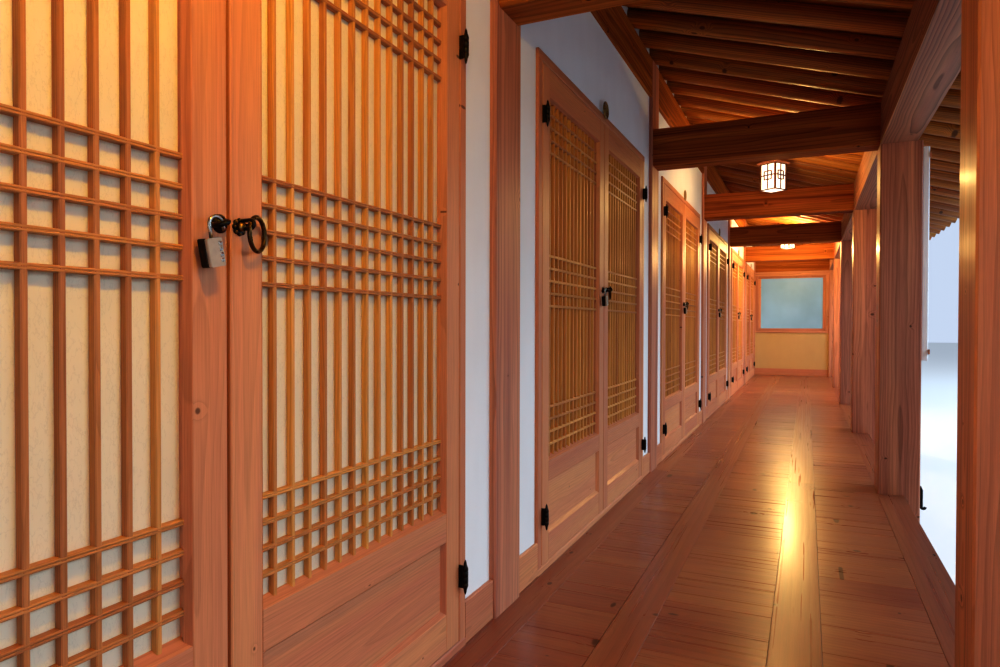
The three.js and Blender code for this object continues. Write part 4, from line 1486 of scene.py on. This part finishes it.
def plaque(shape, x):
    """A round openwork plaque over the meeting line of a pair of doors."""
    face, level = FRAME_FACE - 0.002, FLOOR + DOORWAY_TOP + 0.022
    outer, inner = 0.040, 0.012

    def at(radius, angle, out):
        right, up = polar(radius, angle)
        return x + right, face - out, level + up

    for radius, wire in ((outer, 0.0042), (0.026, 0.0026), (inner, 0.0034)):
        shape.rod([at(radius, a, wire) for a in circle(28)], wire, 8, "bronze", True)
    for a in circle(8):
        shape.rod([at(radius, a, 0.003) for radius in (inner, outer)], 0.0022, 6, "bronze")


def dressed(node, finish_name):
    """Gives a finish to a node that keeps its own shape."""
    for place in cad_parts[node].material_slots:
        place.material = finish(finish_name)


# Settings.


class HanokColours(bpy.types.PropertyGroup):
    """Colours of the finishes."""

    def tint(name, description, default):
        plain = {"subtype": "COLOR", "size": 3, "min": 0.0, "max": 1.0}
        return FloatVectorProperty(name=name, description=description, default=default, **plain)

    timber: tint("Timber", "Oiled pine of the posts", (0.50, 0.22, 0.14))
    beam: tint("Beams", "Older pine of the beams under the roof", (0.34, 0.108, 0.032))
    lattice: tint("Lattice", "Varnished bars of the lattice", (0.50, 0.228, 0.082))
    door: tint("Doors", "Varnished pine of the doors and their frames", (0.53, 0.225, 0.125))
    ceiling: tint("Ceiling", "Rafters and the boards over them", (0.40, 0.137, 0.032))
    floor: tint("Floor", "Polished floor boards", (0.27, 0.092, 0.05))
    plaster: tint("Plaster", "Lime plaster of the walls", (0.84, 0.88, 0.92))
    paper: tint("Door paper", "Mulberry paper behind the lattice", (0.80, 0.715, 0.55))
    tile: tint("Roof tile", "Smoked clay of the roof tiles", (0.075, 0.08, 0.088))
    # Painted light: the window's tint stands for the dusk seen through it, and also sets its glow.
    glass: tint("Window glass", "Dusk tint of the end window", (0.19, 0.33, 0.46))
    lantern_glow: FloatProperty(
        name="Lantern glow",
        description="Brightness of the lanterns' paper",
        default=0.95,
        min=0.0,
        max=100.0,
    )


class HanokSizes(bpy.types.PropertyGroup):
    """Sizes of the fine pieces."""

    def length(name, description, default):
        return FloatProperty(name=name, description=description, default=default, min=0.0, unit="LENGTH")

    bar_width: length("Bar width", "Width of a lattice bar", 0.010)
    bar_depth: length("Bar depth", "Depth of a lattice bar", 0.0155)
    bar_pitch: length("Bar pitch", "Spacing of the lattice bars", 0.0508)
    upright_bars: IntProperty(
        name="Upright bars", description="Upright bars in a leaf", default=13, min=1, max=40
    )
    boards_per_bay: IntProperty(
        name="Boards", description="Short boards in each strip of a bay", default=10, min=1, max=40
    )
    tile_pitch: length("Tile pitch", "Spacing of the columns of tiles", 0.30)
    channel_step: length("Channel step", "Show of each channel tile", 0.12)
    cover_step: length("Cover step", "Show of each cover tile", 0.28)


# Operators.


class HANOK_OT_posts(bpy.types.Operator):
    """Builds the veranda posts on their stones, with their blank boards and hooks."""

    bl_idname = "hanok.posts"
    bl_label = "Veranda posts"

    def execute(self, context):
        shape, extras = Shape(1), Shape(2)
        nodes = [f"outer_post_{i + 1}" for i in range(BAYS + 1)]
        for x, node in zip(LINES, nodes):
            veranda_post(shape, x, node)
            name_board(extras, x)
            door_hook(extras, x)
        assembled(shape, "veranda_posts", nodes)
        assembled(extras, "post_boards", [])
        return {"FINISHED"}


class HANOK_OT_beams(bpy.types.Operator):
    """Builds the tie beams over the veranda and the beam along the post heads."""

    bl_idname = "hanok.beams"
    bl_label = "Veranda beams"

    def execute(self, context):
        ties, eave = Shape(3), Shape(4)
        nodes = [f"tie_beam_{i + 1}" for i in range(BAYS + 1)]
        for node in nodes:
            ties.bar(*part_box(node), "y", "beam wood", 0.010, (0.0, 0.06))
        assembled(ties, "tie_beams", nodes)
        lowest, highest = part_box("outer_beam")
        pith = (0.02, 0.09)
        for a, b in spans([lowest.x, *LINES[1:-1:2], highest.x]):
            eave.bar((a, *lowest.yz), (b, *highest.yz), "x", "pale beam wood", 0.0015, pith)
        assembled(eave, "eave_beam", ["outer_beam"])
        return {"FINISHED"}


class HANOK_OT_wall_frame(bpy.types.Operator):
    """Builds the wall posts, the wall-top beam and the plaster between the rafters."""

    bl_idname = "hanok.wall_frame"
    bl_label = "Wall frame"

    def execute(self, context):
        shape = Shape(5)
        lowest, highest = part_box("wall_frame")
        half, proud, pith = POST / 2, 0.004, (0.02, 0.09)
        for x in LINES:
            corner = (x - half, WALL_FACE - proud, 0.0)
            top = (x + half, WALL_FACE + POST_IN_WALL, highest.z - 0.001)
            shape.bar(corner, top, "z", "timber", 0.006, (0.0, 0.09))
        for a, b in spans([lowest.x, *LINES[2:-1:2], highest.x]):
            corner = (a, lowest.y, highest.z - WALL_BEAM_DEEP)
            shape.bar(corner, (b, lowest.y + WALL_BEAM_WIDE, highest.z), "x", "beam wood", 0.0015, pith)
        wall_infill(shape)
        assembled(shape, "wall_posts_and_beam", ["wall_frame"])
        return {"FINISHED"}


class HANOK_OT_door_frames(bpy.types.Operator):
    """Builds the door frames with their sills and baseboards, and the plaques over them."""

    bl_idname = "hanok.door_frames"
    bl_label = "Door frames"

    def execute(self, context):
        shape, plaques = Shape(6), Shape(7)
        for centre in CENTRES:
            door_frame(shape, centre)
            plaque(plaques, centre)
        nodes = [f"door_frame_{i + 1}" for i in range(BAYS)]
        assembled(shape, "door_frames", nodes)
        assembled(plaques, "door_plaques", [])
        return {"FINISHED"}


class HANOK_OT_door_leaves(bpy.types.Operator):
    """Builds each lattice leaf on its hinges, with its ring or lock."""

    bl_idname = "hanok.door_leaves"
    bl_label = "Door leaves"

    def execute(self, context):
        for number in range(1, BAYS + 1):
            for side_name in ("left", "right"):
                leaf(number, side_name)
        return {"FINISHED"}


class HANOK_OT_floor(bpy.types.Operator):
    """Builds the veranda floor: long rails, short boards and the beams under them."""

    bl_idname = "hanok.floor"
    bl_label = "Veranda floor"

    def execute(self, context):
        shape = Shape(8)
        veranda_floor(shape)
        assembled(shape, "veranda_boards", ["veranda_floor"])
        return {"FINISHED"}


class HANOK_OT_back(bpy.types.Operator):
    """Builds the frame of the back wall and the bands of stone round the foot of the walls."""

    bl_idname = "hanok.back"
    bl_label = "Back frame and stone band"

    def execute(self, context):
        shape = Shape(9)
        back_frame(shape)
        gable_stones(shape)
        assembled(shape, "back_posts_and_beam", ["back_frame"])
        return {"FINISHED"}


class HANOK_OT_roof_frame(bpy.types.Operator):
    """Builds the crossbeams, purlins and gable boards."""

    bl_idname = "hanok.roof_frame"
    bl_label = "Roof frame"

    def execute(self, context):
        shape = Shape(10)
        roof_timbers(shape)
        assembled(shape, "roof_timbers", ["roof_frame"])
        return {"FINISHED"}


class HANOK_OT_rafters(bpy.types.Operator):
    """Builds the rafter logs and the boards over them on both slopes."""

    bl_idname = "hanok.rafters"
    bl_label = "Rafters"

    def execute(self, context):
        shape = Shape(11)
        rafters(shape)
        mesh = shape.mesh("rafters_front")
        installed(mesh, "rafters_front", ["front_rafters"])
        installed(half_turned(mesh, "rafters_back"), "rafters_back", ["back_rafters"])
        return {"FINISHED"}


class HANOK_OT_roof(bpy.types.Operator):
    """Lays the roof tiles on both slopes and builds the ridge."""

    bl_idname = "hanok.roof"
    bl_label = "Tile roof"

    def execute(self, context):
        shape, ridge = Shape(12), Shape(13)
        roof_slope(shape)
        mesh = shape.mesh("tiles_front")
        installed(mesh, "tiles_front", ["roof_front"])
        installed(half_turned(mesh, "tiles_back"), "tiles_back", ["roof_back"])
        ridge_courses(ridge)
        assembled(ridge, "ridge_tiles", ["ridge"])
        return {"FINISHED"}


class HANOK_OT_lanterns(bpy.types.Operator):
    """Builds the box lanterns under the rafters."""

    bl_idname = "hanok.lanterns"
    bl_label = "Lanterns"

    def execute(self, context):
        for i in (1, 2, 3):
            shape = Shape(13 + i)
            lantern(shape, f"lantern_{i}")
            assembled(shape, f"box_lantern_{i}", [f"lantern_{i}"])
        return {"FINISHED"}


class HANOK_OT_end_window(bpy.types.Operator):
    """Builds the window at the far end of the veranda and the boards round it."""

    bl_idname = "hanok.end_window"
    bl_label = "End window"

    def execute(self, context):
        shape, trim = Shape(17), Shape(18)
        end_window(shape)
        assembled(shape, "far_window", ["end_window"])
        end_wall_trim(trim)
        assembled(trim, "end_wall_trim", [])
        return {"FINISHED"}


class HANOK_OT_walls(bpy.types.Operator):
    """Finishes the plaster walls and the paper on the rooms' floor."""

    bl_idname = "hanok.walls"
    bl_label = "Walls and room floor"

    def execute(self, context):
        for node in ("front_wall", "back_wall", "near_gable_wall", "far_gable_wall"):
            dressed(node, "plaster")
        # The end wall gets the lamp-lit copy of the plaster: painted lamplight.
        dressed("veranda_end_wall", "warm plaster")
        dressed("room_floor", "floor paper")
        return {"FINISHED"}


def light(name, kind, place, target, size, power, colour, mirrored=True):
    """A lamp that the camera doesn't see. Its size is a radius, or a width and a height."""
    data = bpy.data.lights.new(name, kind)
    if kind == "AREA":
        data.shape = "RECTANGLE"
        data.size, data.size_y = size
    else:
        data.shadow_soft_size = size
    data.energy = power
    data.color = colour
    made = bpy.data.objects.new(name, data)
    made.location = place
    made.rotation_euler = (Vector(target) - Vector(place)).to_track_quat("-Z", "Y").to_euler()
    made.visible_camera = False
    made.visible_glossy = mirrored
    bpy.context.scene.collection.objects.link(made)


def studio_world():
    """A pale sky to look at, and a dimmer one to light by."""
    sky, powers = (0.62, 0.72, 0.9), (0.12, 0.7)
    world = bpy.data.worlds.new("studio")
    world.use_nodes = True
    world.node_tree.nodes.clear()
    graph = Graph(world.node_tree)
    dim, pale = (graph.node("ShaderNodeBackground", inputs=[sky, power]) for power in powers)
    seen = graph.node("ShaderNodeLightPath", out="Is Camera Ray")
    both = graph.node("ShaderNodeMixShader", inputs=[seen, dim, pale])
    graph.node("ShaderNodeOutputWorld", inputs=[both])
    return world


def stage_floor():
    """A wide pale floor. Its far part is lifted a little where the camera looks at it."""
    reach, level = 60.0, -0.002
    ground = Finish("stage floor")
    seen = ground.node("ShaderNodeLightPath", out="Is Camera Ray")
    material = ground.wear({
        "Base Color": (0.62, 0.64, 0.67),
        "Roughness": 0.7,
        "Emission Color": ground.mix(seen, (0.0, 0.0, 0.0), (0.25, 0.29, 0.34)),
        "Emission Strength": 1.0,
    })
    corners = [(-1, -1), (1, -1), (1, 1), (-1, 1)]
    mesh = bpy.data.meshes.new("stage_floor")
    mesh.from_pydata([(x * reach, y * reach, level) for x, y in corners], [], [(0, 1, 2, 3)])
    mesh.materials.append(material)
    floor = bpy.data.objects.new("stage_floor", mesh)
    bpy.context.scene.collection.objects.link(floor)


# Lamps of the studio: name, place, target, size, power and colour.
STUDIO_LIGHTS = [
    ("court_light", (3, -10, 5.6), (3, 0, 4.2), (19, 4.8), 950, (0.62, 0.84, 1.0)),
    ("near_light", (-9.8, -3.3, 1.6), (0, -2.3, 1.4), (1.6, 2.0), 22, (0.9, 0.95, 1.0)),
    ("ground_light", (2, -15, 8), (2, -15, 0), (34, 10), 1250, (0.9, 0.95, 1.0)),
    ("back_light", (0, 14, 9), (0, 0, 1), (14, 6), 700, (0.95, 0.97, 1.0)),
]

# Lamps under the lanterns: place along the veranda, power, colour, and whether gloss shows it.
AMBER = (1.0, 0.53, 0.03)
WARM = (1.0, 0.64, 0.22)
LANTERN_LIGHTS = [
    (CENTRES[0] - 0.35, 29, AMBER, True),
    (CENTRES[2], 18, WARM, True),
    (CENTRES[4], 80, WARM, True),
    (CENTRES[5], 32, WARM, False),
]

# Camera: lens and film in millimetres, heading and pitch in degrees, roll in radians.
CAMERA_PLACE = (-6.936, -2.093, 1.417)
LENS = 24.2
FILM = 36.0
HEADING = 24.53
PITCH = -0.735
ROLL = 0.002


def stage_camera():
    scene = bpy.context.scene
    camera = bpy.data.objects.new("camera", bpy.data.cameras.new("camera"))
    camera.data.lens = LENS
    camera.data.sensor_width = FILM
    camera.data.clip_start = 0.02
    camera.data.clip_end = 300.0
    turn = Matrix.Rotation(math.radians(HEADING - 90), 4, "Z")
    turn = turn @ Matrix.Rotation(math.pi / 2 + math.radians(PITCH), 4, "X")
    camera.matrix_world = Matrix.Translation(CAMERA_PLACE) @ turn @ Matrix.Rotation(ROLL, 4, "Z")
    scene.collection.objects.link(camera)
    scene.camera = camera


class HANOK_OT_stage(bpy.types.Operator):
    """Makes the pale floor, the soft light and the camera."""

    bl_idname = "hanok.stage"
    bl_label = "Stage, light and camera"

    def execute(self, context):
        scene = context.scene
        stage_floor()
        scene.world = studio_world()
        scene.view_settings.view_transform = "Standard"
        scene.view_settings.look = "High Contrast"
        for name, place, target, size, power, colour in STUDIO_LIGHTS:
            light(name, "AREA", place, target, size, power, colour)
        middle = low("lantern_1")
        y, z = middle.y + 0.08, middle.z - 0.12
        for number, (x, power, colour, mirrored) in enumerate(LANTERN_LIGHTS):
            name = f"lantern_light_{number + 1}"
            light(name, "POINT", (x, y, z), (x, y, 0), 0.04, power, colour, mirrored)
        stage_camera()
        return {"FINISHED"}


STEPS = [
    HANOK_OT_walls,
    HANOK_OT_posts,
    HANOK_OT_beams,
    HANOK_OT_wall_frame,
    HANOK_OT_door_frames,
    HANOK_OT_door_leaves,
    HANOK_OT_floor,
    HANOK_OT_back,
    HANOK_OT_roof_frame,
    HANOK_OT_rafters,
    HANOK_OT_roof,
    HANOK_OT_lanterns,
    HANOK_OT_end_window,
    HANOK_OT_stage,
]


class HANOK_PT_panel(bpy.types.Panel):
    """Lists the steps and the settings they read."""

    bl_idname = "HANOK_PT_panel"
    bl_label = "Hanok wing"
    bl_space_type = "VIEW_3D"
    bl_region_type = "UI"
    bl_category = "Hanok"

    def draw(self, context):
        for group in (context.scene.hanok_sizes, context.scene.hanok_colours):
            for name in group.__annotations__:
                self.layout.prop(group, name)
        for step in STEPS:
            self.layout.operator(step.bl_idname)


CLASSES = [HanokColours, HanokSizes, *STEPS, HANOK_PT_panel]


def register():
    for entry in CLASSES:
        bpy.utils.register_class(entry)
    bpy.types.Scene.hanok_colours = PointerProperty(type=HanokColours)
    bpy.types.Scene.hanok_sizes = PointerProperty(type=HanokSizes)


def unregister():
    del bpy.types.Scene.hanok_sizes
    del bpy.types.Scene.hanok_colours
    for entry in reversed(CLASSES):
        bpy.utils.unregister_class(entry)


def main():
    register()
    for step in STEPS:
        getattr(bpy.ops.hanok, step.bl_idname.split(".")[1])()


if __name__ == "__main__":
    main()
